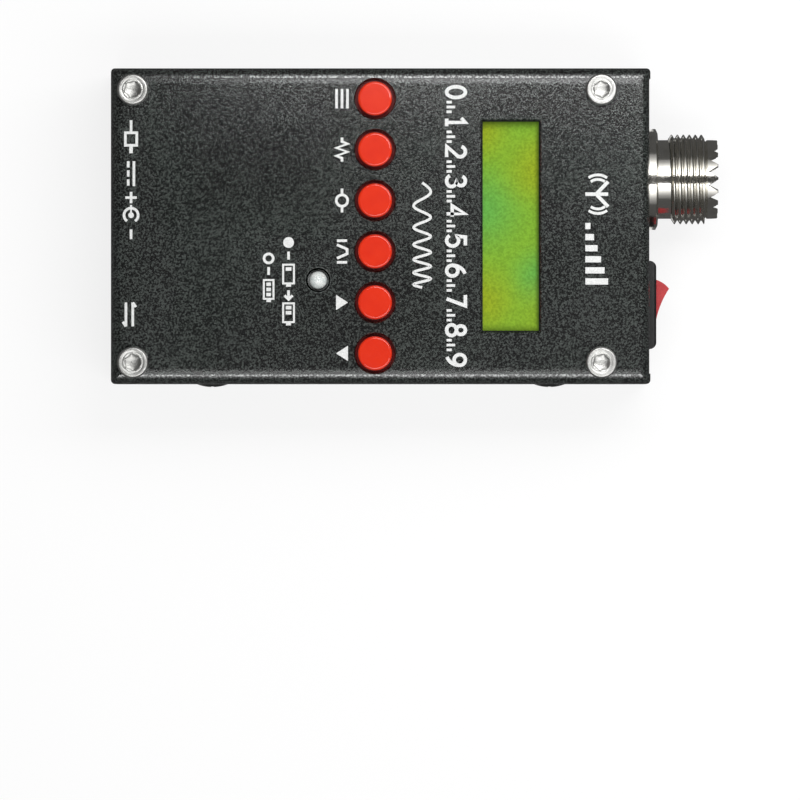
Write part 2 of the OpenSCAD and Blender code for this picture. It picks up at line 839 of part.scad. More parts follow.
// Steel covers of the key switches
module key_switch_covers() {
    color([0.78, 0.78, 0.76])
    for (i = [1 : key_count]) translate([key_x, key_y(i), cover_top - cover_t])
        difference() {
            block(switch_side, switch_side, cover_t);
            translate([0, 0, -skim]) cylinder(r = plunger_r + plunger_gap, h = cover_t + 2 * skim);
        }
}

// ---- charge lamp ----

// Milky lens with a rim and a round top
module charge_lamp() {
    color([0.93, 0.95, 0.93])
    translate([lamp_x, lamp_y, lamp_low]) {
        cylinder(r = lamp_rim_r, h = lamp_rim_t);
        cylinder(d = lamp_d, h = lamp_l - lamp_d / 2);
        translate([0, 0, lamp_l - lamp_d / 2]) sphere(d = lamp_d);
    }
}

// Spacer that holds the lamp at its height
module lamp_spacer() {
    color([0.9, 0.9, 0.86])
    translate([lamp_x, lamp_y, board_top])
    difference() {
        cylinder(r = lamp_rim_r, h = lamp_low - board_top);
        for (x = [-1, 1]) translate([x * lead_pitch, 0, -skim])
            cylinder(r = lead_r + lead_gap, h = far);
    }
}

// Lamp leads in the spacer
module lamp_leads() {
    color([0.8, 0.8, 0.78])
    for (x = [-1, 1]) translate([lamp_x + x * lead_pitch, lamp_y, board_top])
        cylinder(r = lead_r, h = lamp_low - board_top);
}

// ---- display ----

// Soft frame between the face and the display glass, its inner edge seen in the window
module display_gasket() {
    color([0.05, 0.05, 0.05])
    translate([window_x, 0, glass_top])
    difference() {
        block(window_w + 2 * gasket_w, window_l + 2 * gasket_w, gasket_t);
        translate([0, 0, -skim])
            block(window_w - 2 * gasket_lip, window_l - 2 * gasket_lip, gasket_t + 2 * skim);
    }
}

// Two bonded glass plates, the rear one with a contact ledge
module display_glass() {
    color([0.55, 0.71, 0.24])
    translate([window_x, 0, 0]) {
        translate([0, 0, glass_top - plate_t]) block(glass_w, glass_l, plate_t);
        translate([-ledge_w / 2, 0, glass_low]) block(glass_w + ledge_w, glass_l, plate_t);
    }
}

// Light box behind the glass, standing on the board
module display_light_box() {
    color([0.93, 0.94, 0.85])
    translate([window_x, 0, 0]) {
        translate([0, 0, light_low]) block(glass_w, glass_l - light_short, light_t);
        for (x = [-1, 1], y = [-1, 1]) translate([x * foot_x, y * foot_y, board_top])
            cylinder(d = foot_d, h = light_low - board_top);
    }
}

// Contact pins from the ledge down to the board
module display_pins() {
    pins = floor((glass_l - 2 * pin_row_end) / pin_pitch);
    pin_x = window_x - glass_w / 2 - ledge_w;
    color([0.85, 0.8, 0.6])
    for (i = [0 : pins - 1]) translate([pin_x, (i - (pins - 1) / 2) * pin_pitch, 0]) {
        translate([-pin_d - pin_gap, -pin_w / 2, board_top])
            cube([pin_d, pin_w, glass_low + plate_t + pin_pad_t - board_top]);
        translate([-pin_d - pin_gap, -pin_w / 2, glass_low + plate_t])
            cube([ledge_w - cut_gap + pin_d, pin_w, pin_pad_t]);
    }
}

// ---- board ----

// Circuit board, cut out round the power switch and the antenna socket
module main_board() {
    color([0.1, 0.35, 0.2])
    difference() {
        translate([board_left, -board_half, board_low])
            cube([board_right - board_left, 2 * board_half, board_t]);
        at_face_screws() translate([0, 0, board_low - skim]) cylinder(r = hole_r, h = board_t + 2 * skim);
        translate([right_x + terminal_end - cut_gap, rocker_y - body_l / 2 - cut_gap, board_low - skim])
            cube([far, body_l + 2 * cut_gap, board_t + 2 * skim]);
        translate([right_x + contact_tail - cut_gap, socket_y - tray_cut_w / 2, board_low - skim])
            cube([far, tray_cut_w, board_t + 2 * skim]);
    }
}

// Square controller with legs on four sides
module controller_chip() {
    color([0.1, 0.1, 0.11])
    translate([chip_x, controller_y, board_top])
        for (a = [0, 90]) rotate([0, 0, a])
            leaded_chip(controller_side, controller_side, controller_h, controller_legs);
}

// Signal synthesizer chip
module synthesizer_chip() {
    color([0.1, 0.1, 0.11])
    translate([chip_x, synthesizer_y, board_top])
        leaded_chip(synthesizer_l, synthesizer_w, synthesizer_h, synthesizer_legs);
}

// Serial data chip next to the data socket
module data_chip() {
    color([0.1, 0.1, 0.11])
    translate([chip_x, usb_y, board_top])
        leaded_chip(data_chip_l, data_chip_w, data_chip_h, data_chip_legs);
}

// Metal clock can
module clock_can() {
    color([0.78, 0.78, 0.76])
    translate([clock_x, synthesizer_y, board_top]) {
        linear_extrude(leg_t) round_rect(clock_w, clock_l, clock_w / 2 - leg_tuck);
        linear_extrude(clock_h)
            round_rect(clock_w - leg_l, clock_l - leg_l, (clock_w - leg_l) / 2 - leg_tuck);
    }
}

// Supply coil in a square base
module supply_coil() {
    color([0.2, 0.2, 0.21])
    translate([coil_x, coil_y, board_top]) {
        block(coil_side, coil_side, leg_l);
        cylinder(d = coil_side - 2 * leg_t, h = coil_h);
    }
}

// Two upright smoothing capacitors
module smoothing_capacitors() {
    color([0.7, 0.7, 0.72])
    for (i = [0, 1]) translate([capacitor_x, capacitor_y + i * capacitor_step, board_top]) {
        block(capacitor_side, capacitor_side, leg_l);
        round_edge_disc(capacitor_side / 2 - leg_t, capacitor_h, 0.4);
    }
}

// Ferrite ring of the measuring bridge, under the board
module bridge_core() {
    color([0.3, 0.3, 0.32])
    translate([core_x, socket_y, board_low - core_h]) tube(core_d / 2, core_hole_d / 2, core_h);
}

// ---- antenna socket ----

// Outline of the turned socket: flange, neck, grooved thread, relief, crown and rear stub
module socket_outline() {
    flank = (thread_pitch - thread_flat) / 2;
    square_from(stub_end, 0, stub_d / 2);
    bevel_low = flange_t - flange_bevel_h;
    square_from(0, bevel_low, flange_d / 2);
    polygon([[0, 0], [flange_d / 2, bevel_low], [flange_d / 2 - flange_bevel_w, flange_t],
             [0, flange_t]]);
    square_from(0, relief_low, neck_r);
    polygon([[0, relief_low], [neck_r, relief_low], [neck_r - relief_depth, relief_low + relief_w / 2],
             [neck_r, relief_high], [0, relief_high]]);
    square_from(relief_high, socket_l, neck_r);
    square_from(thread_start - thread_flat, last_thread() + thread_flat, root_r);
    for (i = [0 : thread_turns - 1]) {
        mid = thread_start + i * thread_pitch;
        polygon([[0, mid - thread_flat / 2 - flank], [root_r, mid - thread_flat / 2 - flank],
                 [thread_r, mid - thread_flat / 2], [thread_r, mid + thread_flat / 2],
                 [root_r, mid + thread_flat / 2 + flank], [0, mid + thread_flat / 2 + flank]]);
    }
}

function last_thread() = thread_start + (thread_turns - 1) * thread_pitch;

// Rectangle from the axis out to radius r, between two distances along the axis
module square_from(low, high, r) {
    translate([0, low]) square([r, high - low]);
}

// Turned socket body with a toothed crown
module antenna_socket() {
    notch_w = 2 * PI * neck_r / tooth_count * notch_share * (tooth_depth + skim) / tooth_depth;
    color([0.75, 0.75, 0.72])
    on_socket_end(socket_y, mid_z)
    difference() {
        rotate_extrude() socket_outline();
        translate([0, 0, insulator_face]) cylinder(d = mouth_d, h = far);
        translate([0, 0, seat_low]) cylinder(r = seat_r, h = far);
        translate([0, 0, stub_end - skim]) cylinder(r = stub_bore_r, h = far);
        for (i = [0 : tooth_count - 1]) rotate([0, 0, (i + 0.5) * 360 / tooth_count])
            translate([mouth_d / 2 - skim, 0, 0]) rotate([90, 0, 90])
                linear_extrude(neck_r - mouth_d / 2 + 2 * skim)
                    polygon([[0, socket_l - tooth_depth], [notch_w / 2, socket_l + skim],
                             [-notch_w / 2, socket_l + skim]]);
    }
}

// Insulator seated in the socket from the front
module antenna_insulator() {
    color([0.94, 0.94, 0.92])
    on_socket_end(socket_y, mid_z)
    difference() {
        union() {
            translate([0, 0, seat_low]) cylinder(r = seat_r - insulator_gap, h = insulator_face - seat_low);
            translate([0, 0, stub_end - insulator_tail])
                cylinder(r = stub_bore_r - insulator_gap, h = seat_low - stub_end + insulator_tail);
        }
        translate([0, 0, stub_end - insulator_tail - skim]) cylinder(r = tail_r + insulator_gap, h = far);
        translate([0, 0, contact_floor]) cylinder(r = contact_r + insulator_gap, h = far);
    }
}

// Slit tube that grips the plug's centre pin, with a solder cup at its tail
module antenna_contact() {
    color([0.85, 0.75, 0.45])
    on_socket_end(socket_y, mid_z)
    difference() {
        union() {
            translate([0, 0, contact_floor]) cylinder(r = contact_r, h = contact_depth);
            translate([0, 0, contact_tail]) cylinder(r = tail_r, h = tail_l);
        }
        translate([0, 0, contact_floor + contact_web]) cylinder(d = contact_d, h = far);
        translate([0, 0, contact_tail - skim]) cylinder(r = cup_r, h = cup_depth + skim);
        for (a = [45, 135]) rotate([0, 0, a])
            translate([0, 0, contact_mouth - slit_l]) block(4 * contact_r, slit_w, slit_l + skim);
    }
}

// Hexagon nut on the rear stub
module antenna_nut() {
    color([0.78, 0.78, 0.76])
    on_socket_end(socket_y, mid_z) translate([0, 0, nut_face - nut_t])
    difference() {
        hex_prism(nut_af, nut_t);
        translate([0, 0, -skim]) cylinder(r = stub_d / 2 + nut_gap, h = nut_t + 2 * skim);
    }
}

// Lock washer with inside teeth, under the nut
module antenna_washer() {
    color([0.7, 0.7, 0.68])
    on_socket_end(socket_y, mid_z) translate([0, 0, nut_face])
    difference() {
        tube(nut_af / 2 - 0.1, stub_d / 2 + nut_gap, washer_t);
        for (i = [0 : washer_teeth - 1]) rotate([0, 0, i * 360 / washer_teeth])
            translate([stub_d / 2 + washer_slot_l / 3, 0, -skim])
                block(washer_slot_l, washer_slot_w, washer_t + 2 * skim);
    }
}

// Ground tag clamped against the panel, with a soldering tail
module ground_tag() {
    color([0.85, 0.8, 0.6])
    on_socket_end(socket_y, mid_z) translate([0, 0, -sheet_t - tag_t])
    difference() {
        union() {
            cylinder(r = nut_af / 2 + tag_rim, h = tag_t);
            translate([0, -nut_af / 2 - tag_tail_out + tag_tail_l / 2, 0])
                block(tag_tail_w, tag_tail_l, tag_t);
        }
        translate([0, 0, -skim]) cylinder(r = stub_d / 2 + nut_gap, h = tag_t + 2 * skim);
    }
}

// Wire from the centre contact to the board
module antenna_lead() {
    x0 = right_x + contact_tail + cup_depth;
    x1 = right_x + contact_tail - lead_l;
    color([0.8, 0.55, 0.3]) {
        translate([x1, socket_y, mid_z]) rotate([0, 90, 0]) cylinder(r = antenna_wire_r, h = x0 - x1);
        translate([x1 + post_r, socket_y, mid_z]) cylinder(r = post_r, h = board_low - mid_z);
    }
}

// ---- power switch ----

// Bezel and body of the power switch, with a well and two pivot seats for the rocker
module switch_frame() {
    color([0.1, 0.1, 0.1])
    on_socket_end(rocker_y, mid_z)
    difference() {
        union() {
            intersection() {
                block(bezel_w, bezel_l, bezel_t);
                rotate([90, 0, 0]) linear_extrude(far, center = true)
                    fold_outline(bezel_w, bezel_t, min(bezel_side_r, bezel_t));
                rotate([90, 0, 90]) linear_extrude(far, center = true)
                    fold_outline(bezel_l, bezel_t, min(bezel_end_r, bezel_t));
            }
            translate([0, 0, -body_depth]) block(body_w, body_l, body_depth);
            for (y = [0, 1]) mirror([0, y, 0]) translate([0, body_l / 2, -sheet_t - clip_gap])
                rotate([90, 0, 90]) linear_extrude(body_w / 2, center = true)
                    polygon([[-clip_root, 0], [clip_out, 0], [0, -clip_l], [-clip_root, -clip_l]]);
        }
        translate([0, 0, well_floor]) block(well_w, well_l, far);
        translate([0, 0, -pivot_depth]) rotate([0, 90, 0])
            cylinder(r = stud_d / 2 + stud_gap, h = rocker_w + 2 * stud_l + 4 * stud_gap, center = true);
    }
}

// Rocker on its pivot studs, tilted so that the end next to the antenna socket is raised
module power_rocker() {
    tip_u = rocker_r * cos(tip_angle);
    tip_v = rocker_r * sin(tip_angle);
    saddle_r = (tip_v * tip_v + saddle * saddle) / (2 * saddle);
    color([0.8, 0.22, 0.2])
    on_socket_end(rocker_y, mid_z)
    translate([0, 0, -pivot_depth]) rotate([0, 90, 0]) rotate([0, 0, rocker_tilt]) {
        linear_extrude(rocker_w, center = true)
        difference() {
            circle(rocker_r, $fn = 96);
            translate([-tip_u + saddle - saddle_r, 0]) circle(saddle_r, $fn = 180);
            translate([rocker_base, -far / 2]) square([far, far]);
        }
        linear_extrude(rocker_w - 2 * skim, center = true) translate([0, -rocker_foot_w / 2])
            square([rocker_foot_end, rocker_foot_w]);
        cylinder(d = stud_d, h = rocker_w + 2 * stud_l, center = true);
    }
}

// Contact strip on the floor of the switch
module switch_contact() {
    color([0.85, 0.7, 0.4])
    on_socket_end(rocker_y, mid_z) translate([0, 0, well_floor])
        block(strip_w, strip_l, strip_t);
}

// Two blades behind the switch
module switch_terminals() {
    color([0.85, 0.8, 0.6])
    for (y = [-1, 1]) on_socket_end(rocker_y + y * terminal_pitch / 2, mid_z)
        translate([0, 0, terminal_end]) block(terminal_w, terminal_t, terminal_l);
}

// Wires from the switch blades to the board
module switch_leads() {
    x0 = right_x + terminal_end;
    color([0.75, 0.1, 0.1])
    for (y = [-1, 1]) translate([x0, rocker_y + y * terminal_pitch / 2, mid_z]) {
        rotate([0, -90, 0]) cylinder(r = wire_r, h = switch_lead_l);
        translate([-switch_post_x, 0, 0]) cylinder(r = switch_post_r, h = board_low - mid_z);
    }
}

// ---- charging sockets ----

// Moulded body of the round power socket, hanging under the board
module power_jack() {
    color([0.09, 0.09, 0.09])
    difference() {
        translate([jack_face, jack_y - jack_w / 2, jack_low]) cube([jack_l, jack_w, jack_h]);
        translate([jack_face - skim, jack_y, jack_axis_z]) rotate([0, 90, 0]) {
            cylinder(d = jack_bore_d, h = jack_depth + skim);
            cylinder(r = jack_pin_d / 2 + rivet_head, h = far);
        }
        translate([jack_face + spring_x, jack_y - spring_slot / 2, jack_axis_z])
            cube([spring_slot, spring_slot, far]);
    }
}

// Centre pin riveted in the back of the power socket
module power_jack_pin() {
    back = jack_face + jack_depth;
    color([0.8, 0.8, 0.78])
    translate([0, jack_y, jack_axis_z]) rotate([0, 90, 0]) {
        translate([0, 0, jack_face + pin_nose]) sphere(d = jack_pin_d);
        translate([0, 0, jack_face + pin_nose]) cylinder(d = jack_pin_d, h = jack_depth - pin_nose);
        translate([0, 0, back])
            cylinder(r = jack_pin_d / 2 + rivet_head - rivet_gap, h = jack_l - jack_depth + rivet_end);
    }
}

// Sleeve contact that reaches the board through the power socket's top
module power_jack_spring() {
    leaf_w = spring_slot - 2 * spring_gap;
    leaf_z = jack_axis_z + jack_bore_d / 2 - spring_in;
    color([0.85, 0.8, 0.6])
    translate([jack_face + spring_x + spring_slot / 2, jack_y, leaf_z])
        block(leaf_w, leaf_w, board_low - leaf_z);
}

// Outline of the data socket: wide at the top, stepped in below
module usb_outline(inset) {
    w = usb_w / 2 - inset;
    top = usb_h / 2 - inset;
    low = -usb_h / 2 + inset;
    foot = w - usb_step_w;
    polygon([[-w, top], [w, top], [w, -usb_waist], [foot, low + usb_step_h], [foot, low],
             [-foot, low], [-foot, low + usb_step_h], [-w, -usb_waist]]);
}

// Folded steel shell of the data socket
module data_socket_shell() {
    color([0.8, 0.8, 0.79])
    translate([usb_face, usb_y, usb_z]) rotate([90, 0, 90])
    difference() {
        linear_extrude(usb_l) usb_outline(0);
        translate([0, 0, -skim]) linear_extrude(usb_l - usb_back + skim) usb_outline(usb_t);
    }
}

// Contact tongue inside the data socket
module data_socket_tongue() {
    color([0.08, 0.08, 0.08])
    translate([usb_face + tongue_in, usb_y - tongue_w / 2, usb_z - tongue_low])
        cube([tongue_l, tongue_w, tongue_t]);
}

// ---- battery ----

// Three flat cells in a stack
module battery_cells() {
    color([0.72, 0.73, 0.75])
    for (i = [0 : cell_count - 1])
        translate([0, 0, battery_low + i * cell_step])
            linear_extrude(cell_t) round_rect(cell_l, cell_w, cell_corner_r);
}

// Tape that holds the battery to the rear shell
module battery_tape() {
    color([0.9, 0.9, 0.88])
    translate([0, 0, sheet_t]) block(cell_l - 2 * tape_margin, cell_w - 2 * tape_margin, tape_t);
}

// Guard board at the end of the battery
module battery_guard() {
    color([0.12, 0.3, 0.16])
    translate([-cell_l / 2 - guard_t / 2, 0, battery_low])
        block(guard_t, guard_l, battery_top - battery_low);
}

// Plug housing under the board
module battery_plug() {
    color([0.92, 0.92, 0.88])
    translate([plug_x - plug_l / 2, 0, plug_low]) block(plug_l, plug_w, board_low - plug_low);
}

// Two wires from the guard board to the plug
module battery_leads() {
    color([0.75, 0.1, 0.1])
    for (y = [-1, 1]) translate([plug_x, y * lead_spread, lead_z]) rotate([0, 90, 0])
        cylinder(r = wire_r, h = -cell_l / 2 - guard_t - plug_x);
}

// Foam pad between the battery and the board
module foam_pad() {
    color([0.2, 0.2, 0.22])
    translate([0, 0, battery_top])
        block(cell_l - 2 * pad_margin_l, cell_w - 2 * pad_margin_w, board_low - pad_gap - battery_top);
}

front_shell();
rear_shell();
face_screws();
side_screws();
clinch_nuts();
board_pillars();
board_screws();
key_cap(1);  // key_cap_1
key_cap(2);  // key_cap_2
key_cap(3);  // key_cap_3
key_cap(4);  // key_cap_4
key_cap(5);  // key_cap_5
key_cap(6);  // key_cap_6
key_plunger(1);  // key_plunger_1
key_plunger(2);  // key_plunger_2
key_plunger(3);  // key_plunger_3
key_plunger(4);  // key_plunger_4
key_plunger(5);  // key_plunger_5
key_plunger(6);  // key_plunger_6
key_switch_bases();
key_switch_covers();
charge_lamp();
lamp_spacer();
lamp_leads();
display_gasket();
display_glass();
display_light_box();
display_pins();
main_board();
controller_chip();
synthesizer_chip();
data_chip();
clock_can();
supply_coil();
smoothing_capacitors();
bridge_core();
antenna_socket();
antenna_insulator();
antenna_contact();
antenna_nut();
antenna_washer();
ground_tag();
antenna_lead();
switch_frame();
power_rocker();
switch_contact();
switch_terminals();
switch_leads();
power_jack();
power_jack_pin();
power_jack_spring();
data_socket_shell();
data_socket_tongue();
battery_cells();
battery_tape();
battery_guard();
battery_plug();
battery_leads();
foam_pad();
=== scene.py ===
"""Looks of the hand-held antenna analyzer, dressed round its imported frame.

Every size is in metres, in the part's own frame: X runs to the antenna socket, Y across
the case and Z out of its face, with the back face at Z = 0.
"""

import json
import logging
import math
from collections.abc import Callable, Iterable, Sequence
from dataclasses import dataclass
from enum import Enum
from typing import Protocol

import bmesh
import bpy
from mathutils import Matrix, Vector


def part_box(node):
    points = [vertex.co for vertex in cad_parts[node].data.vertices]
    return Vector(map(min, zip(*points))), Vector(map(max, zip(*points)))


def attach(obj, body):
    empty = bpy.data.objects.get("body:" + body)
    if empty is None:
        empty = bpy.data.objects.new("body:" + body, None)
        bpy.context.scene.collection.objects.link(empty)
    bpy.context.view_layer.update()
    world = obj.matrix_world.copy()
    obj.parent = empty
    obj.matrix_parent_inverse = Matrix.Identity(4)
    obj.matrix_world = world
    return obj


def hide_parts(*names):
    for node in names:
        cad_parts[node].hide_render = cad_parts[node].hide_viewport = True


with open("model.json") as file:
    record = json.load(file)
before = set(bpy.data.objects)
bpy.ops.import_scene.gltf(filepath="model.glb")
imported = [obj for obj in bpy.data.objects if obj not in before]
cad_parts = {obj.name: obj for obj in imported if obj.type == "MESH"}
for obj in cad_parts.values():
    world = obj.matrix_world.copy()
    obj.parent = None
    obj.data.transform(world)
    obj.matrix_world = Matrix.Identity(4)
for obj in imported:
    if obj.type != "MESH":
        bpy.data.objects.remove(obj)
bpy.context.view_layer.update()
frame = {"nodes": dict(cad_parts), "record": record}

MM = 0.001
ALONG_X = Matrix.Rotation(math.radians(90), 4, "Y")
MEETING = 0.01  # share of a stroke's width within which its two ends are one point
log = logging.getLogger("antenna_analyzer")

Point2 = tuple[float, float]
Point3 = tuple[float, float, float]
Colour = tuple[float, float, float]
Spot = tuple[int, float, float]
Face = tuple[int, ...]
Row = Callable[[float], Point2]
Term = "Value | float | Sequence[float]"


def shade(red: int, green: int, blue: int) -> Colour:
    """Gives the linear colour of a colour seen on a display.

    Args:
        red: Red, from 0 to 255.
        green: Green, from 0 to 255.
        blue: Blue, from 0 to 255.

    Returns:
        The three linear shares.
    """
    def linear(level: int) -> float:
        """Undoes the display's curve for one level."""
        share = level / 255
        return share / 12.92 if share <= 0.04045 else ((share + 0.055) / 1.055) ** 2.4

    return linear(red), linear(green), linear(blue)


def grey(tone: float) -> Colour:
    """Gives the grey of a linear tone."""
    return tone, tone, tone


# ---- nodes ----


class Value:
    """An output of a node, on which arithmetic adds Math nodes."""

    def __init__(self, paint: "Paint", output: bpy.types.NodeSocket | None) -> None:
        """Holds one output.

        Args:
            paint: The nodes that the output belongs to.
            output: The output, or none for a node that ends the nodes.
        """
        self.paint = paint
        self.output = output

    def math(self, operation: str, *others: Term) -> "Value":
        """Adds a Math node whose first input is this output.

        Args:
            operation: What the node does.
            others: Its other inputs, in order.

        Returns:
            The node's output.
        """
        return self.paint.math(operation, self, *others)

    def __add__(self, other: Term) -> "Value":
        """Adds a number or an output."""
        return self.math("ADD", other)

    def __radd__(self, other: float) -> "Value":
        """Adds this output to a number."""
        return self.paint.math("ADD", other, self)

    def __sub__(self, other: Term) -> "Value":
        """Takes a number or an output away."""
        return self.math("SUBTRACT", other)

    def __rsub__(self, other: float) -> "Value":
        """Takes this output from a number."""
        return self.paint.math("SUBTRACT", other, self)

    def __mul__(self, other: Term) -> "Value":
        """Multiplies by a number or an output."""
        return self.math("MULTIPLY", other)

    def __rmul__(self, other: float) -> "Value":
        """Multiplies a number by this output."""
        return self.paint.math("MULTIPLY", other, self)

    def ramp(self, low: float, high: float) -> "Value":
        """Rises smoothly from 0 where this is low to 1 where it is high."""
        return self.paint.node("ShaderNodeMapRange", {"interpolation_type": "SMOOTHSTEP"},
                               {"Value": self, "From Min": low, "From Max": high})

    def about(self, middle: float, swing: float) -> "Value":
        """Strays from a middle by up to a swing, as this goes from 0 to 1."""
        return middle - swing + self * (2 * swing)

    def sibling(self, name: str) -> "Value":
        """Gives another output of the same node."""
        return Value(self.paint, self.output.node.outputs[name])


class Paint:
    """The nodes of one material, of a light or of the world."""

    def __init__(self, tree: bpy.types.NodeTree) -> None:
        """Clears a node tree and starts on it.

        Args:
            tree: The node tree.
        """
        self.tree = tree
        tree.nodes.clear()

    def node(self, kind: str, settings: dict[str, str | float] | None = None,
             sockets: dict[int | str, Term] | None = None, out: int | str = 0) -> Value:
        """Adds a node.

        Args:
            kind: The node's type.
            settings: Its own settings, which are set first.
            sockets: The values or links of its inputs, by name or place.
            out: The name or place of the output that is wanted.

        Returns:
            That output.
        """
        made = self.tree.nodes.new(kind)
        for name, value in (settings or {}).items():
            setattr(made, name, value)
        for name, value in (sockets or {}).items():
            self.feed(made.inputs[name], value)
        return Value(self, made.outputs[out] if made.outputs else None)

    def feed(self, socket: bpy.types.NodeSocket, value: Term) -> None:
        """Links an output to a socket, or sets the socket's own value.

        Args:
            socket: The input.
            value: An output, a number, a vector or a colour.
        """
        if isinstance(value, Value):
            self.tree.links.new(value.output, socket)
        elif socket.type == "RGBA":
            socket.default_value = (*value[:3], 1.0)
        else:
            socket.default_value = value

    def math(self, operation: str, *terms: Term) -> Value:
        """Adds a Math node with the given inputs."""
        return self.node("ShaderNodeMath", {"operation": operation}, dict(enumerate(terms)))

    def mix(self, share: Term, start: Term, end: Term) -> Value:
        """Blends two colours.

        Args:
            share: How much of the end colour shows, from 0 to 1.
            start: The first colour.
            end: The second colour.

        Returns:
            The blended colour.
        """
        return self.node("ShaderNodeMix", {"data_type": "RGBA"}, {0: share, 6: start, 7: end}, 2)

    def close(self, kind: str, shader: Value) -> None:
        """Ends the nodes with their output node."""
        self.node(kind, None, {"Surface": shader})


class Surface(Paint):
    """A material of the part: one Principled shader and what feeds it."""

    def __init__(self, name: str) -> None:
        """Starts a material.

        Args:
            name: The material's name.
        """
        self.material = bpy.data.materials.new(name)
        self.material.use_nodes = True
        super().__init__(self.material.node_tree)
        self.place = self.node("ShaderNodeTexCoord", out="Object")

    def stretch(self, scale: Point3) -> Value:
        """Scales the place on the part along each axis."""
        return self.node("ShaderNodeVectorMath", {"operation": "MULTIPLY"}, {0: self.place, 1: scale})

    def noise(self, scale: float, detail: float = 2.0, place: Value | None = None) -> Value:
        """Adds a soft noise.

        Args:
            scale: Waves per unit of the place.
            detail: How many finer waves lie on the first.
            place: The place that is read, or none for the part's own.

        Returns:
            The noise, about 0.5 in the middle.
        """
        return self.node("ShaderNodeTexNoise", None,
                         {"Vector": place or self.place, "Scale": scale, "Detail": detail})

    def cells(self, scale: float) -> Value:
        """Gives the distance to the middle of the nearest cell, of a number of cells per metre."""
        return self.node("ShaderNodeTexVoronoi", None, {"Vector": self.place, "Scale": scale})

    def axis(self, name: str) -> Value:
        """Gives one coordinate of the place on the part."""
        return self.node("ShaderNodeSeparateXYZ", None, {0: self.place}, name)

    def spot(self, centre: Point2, reach: float) -> Value:
        """Gives a soft spot on the face.

        Args:
            centre: Its X and Y.
            reach: The radius at which it has faded out.

        Returns:
            1 at the centre, falling to 0.
        """
        flat = self.stretch((1.0, 1.0, 0.0))
        away = self.node("ShaderNodeVectorMath", {"operation": "DISTANCE"},
                         {0: flat, 1: (*centre, 0.0)}, "Value")
        return away.ramp(reach, 0.0)

    def bump(self, height: Value, depth: float) -> Value:
        """Turns a height between 0 and 1 into a normal.

        Args:
            height: The height.
            depth: What a height of 1 stands for, in metres.

        Returns:
            The normal.
        """
        return self.node("ShaderNodeBump", None, {"Height": height, "Distance": depth})

    def finish(self, sockets: dict[int | str, Term]) -> bpy.types.Material:
        """Adds the shader and the output.

        Args:
            sockets: The values and links of the shader's inputs.

        Returns:
            The finished material.
        """
        shader = self.node("ShaderNodeBsdfPrincipled", None, sockets)
        self.close("ShaderNodeOutputMaterial", shader)
        return self.material


# ---- finishes ----


class Finish(Protocol):
    """What every finish has: its material's name, and what makes the material."""

    @property
    def name(self) -> str:
        """Gives the material's name."""

    def material(self) -> bpy.types.Material:
        """Makes the material."""


@dataclass(frozen=True)
class PowderCoat:
    """Fine textured powder coat, whose grains catch the light through their bump and carry painted
    highlight on their crests and painted shade in their pits, with a soft shoulder by the folds.
    """

    name: str
    # pit and crest: the grain's tone, with painted shade in the pits and painted highlight on the crests
    pit: Colour
    crest: Colour
    grain: float = 3400.0
    cloud: float = 45.0
    relief: float = 0.026 * MM
    roughness: float = 0.19
    lit_span: Point2 = (0.44, 0.64)
    gloss_span: Point2 = (0.42, 0.62)
    gloss_least: float = 0.35
    gloss_ior: float = 2.4
    shoulder: float = 3.0 * MM
    shoulder_drop: float = 0.6 * MM
    ends: float = 47.5 * MM
    sides: float = 27.8 * MM

    def past(self, coat: Surface, name: str, edge: float) -> Value:
        """Gives how far a place lies past the start of the soft shoulder beside a fold.

        Args:
            coat: The surface.
            name: The axis across the fold.
            edge: Where the case ends on that axis.

        Returns:
            0 before the shoulder and 1 at the edge, squared.
        """
        away = coat.axis(name).math("ABSOLUTE") - (edge - self.shoulder)
        share = away.math("MAXIMUM", 0.0) * (1 / self.shoulder)
        return share * share

    def material(self) -> bpy.types.Material:
        """Makes the material."""
        coat = Surface(self.name)
        grains = coat.noise(self.grain, 1.0)
        worms = coat.noise(self.grain / 2, 1.0)
        cloud = coat.noise(self.cloud)
        fall = self.past(coat, "X", self.ends) + self.past(coat, "Y", self.sides)
        height = grains * 0.8 + worms * 0.5 - fall * (self.shoulder_drop / self.relief)
        # painted highlight: the colour is lighter where the grain stands high and darker in its pits
        lit = (grains * 0.9 + cloud * 0.1).ramp(*self.lit_span)
        gloss = (grains * 0.8 + worms * 0.2).ramp(*self.gloss_span)
        return coat.finish({"Base Color": coat.mix(lit, self.pit, self.crest),
                            "Roughness": cloud.about(self.roughness, 0.06),
                            "Coat Weight": self.gloss_least + gloss * (1.0 - self.gloss_least),
                            "Coat Roughness": self.roughness, "Coat IOR": self.gloss_ior,
                            "Normal": coat.bump(height, self.relief)})


@dataclass(frozen=True)
class PlatedMetal:
    """Bright plated or turned metal with fine tool marks along one axis and a thin film."""

    name: str
    colour: Colour
    tarnish: Colour
    roughness: float = 0.16
    marks: Point3 = (9000.0, 500.0, 500.0)
    depth: float = 0.004 * MM
    film: float = 380.0
    film_span: Point2 = (0.42, 0.78)

    def material(self) -> bpy.types.Material:
        """Makes the material."""
        metal = Surface(self.name)
        marks = metal.noise(1.0, 3.0, metal.stretch(self.marks))
        film = metal.noise(self.film, 4.0).ramp(*self.film_span)
        rough = self.roughness * 0.7 + marks * self.roughness * 0.5 + film * 0.08
        return metal.finish({"Base Color": metal.mix(film * 0.6, self.colour, self.tarnish),
                             "Metallic": 1.0, "Roughness": rough,
                             "Normal": metal.bump(marks, self.depth)})


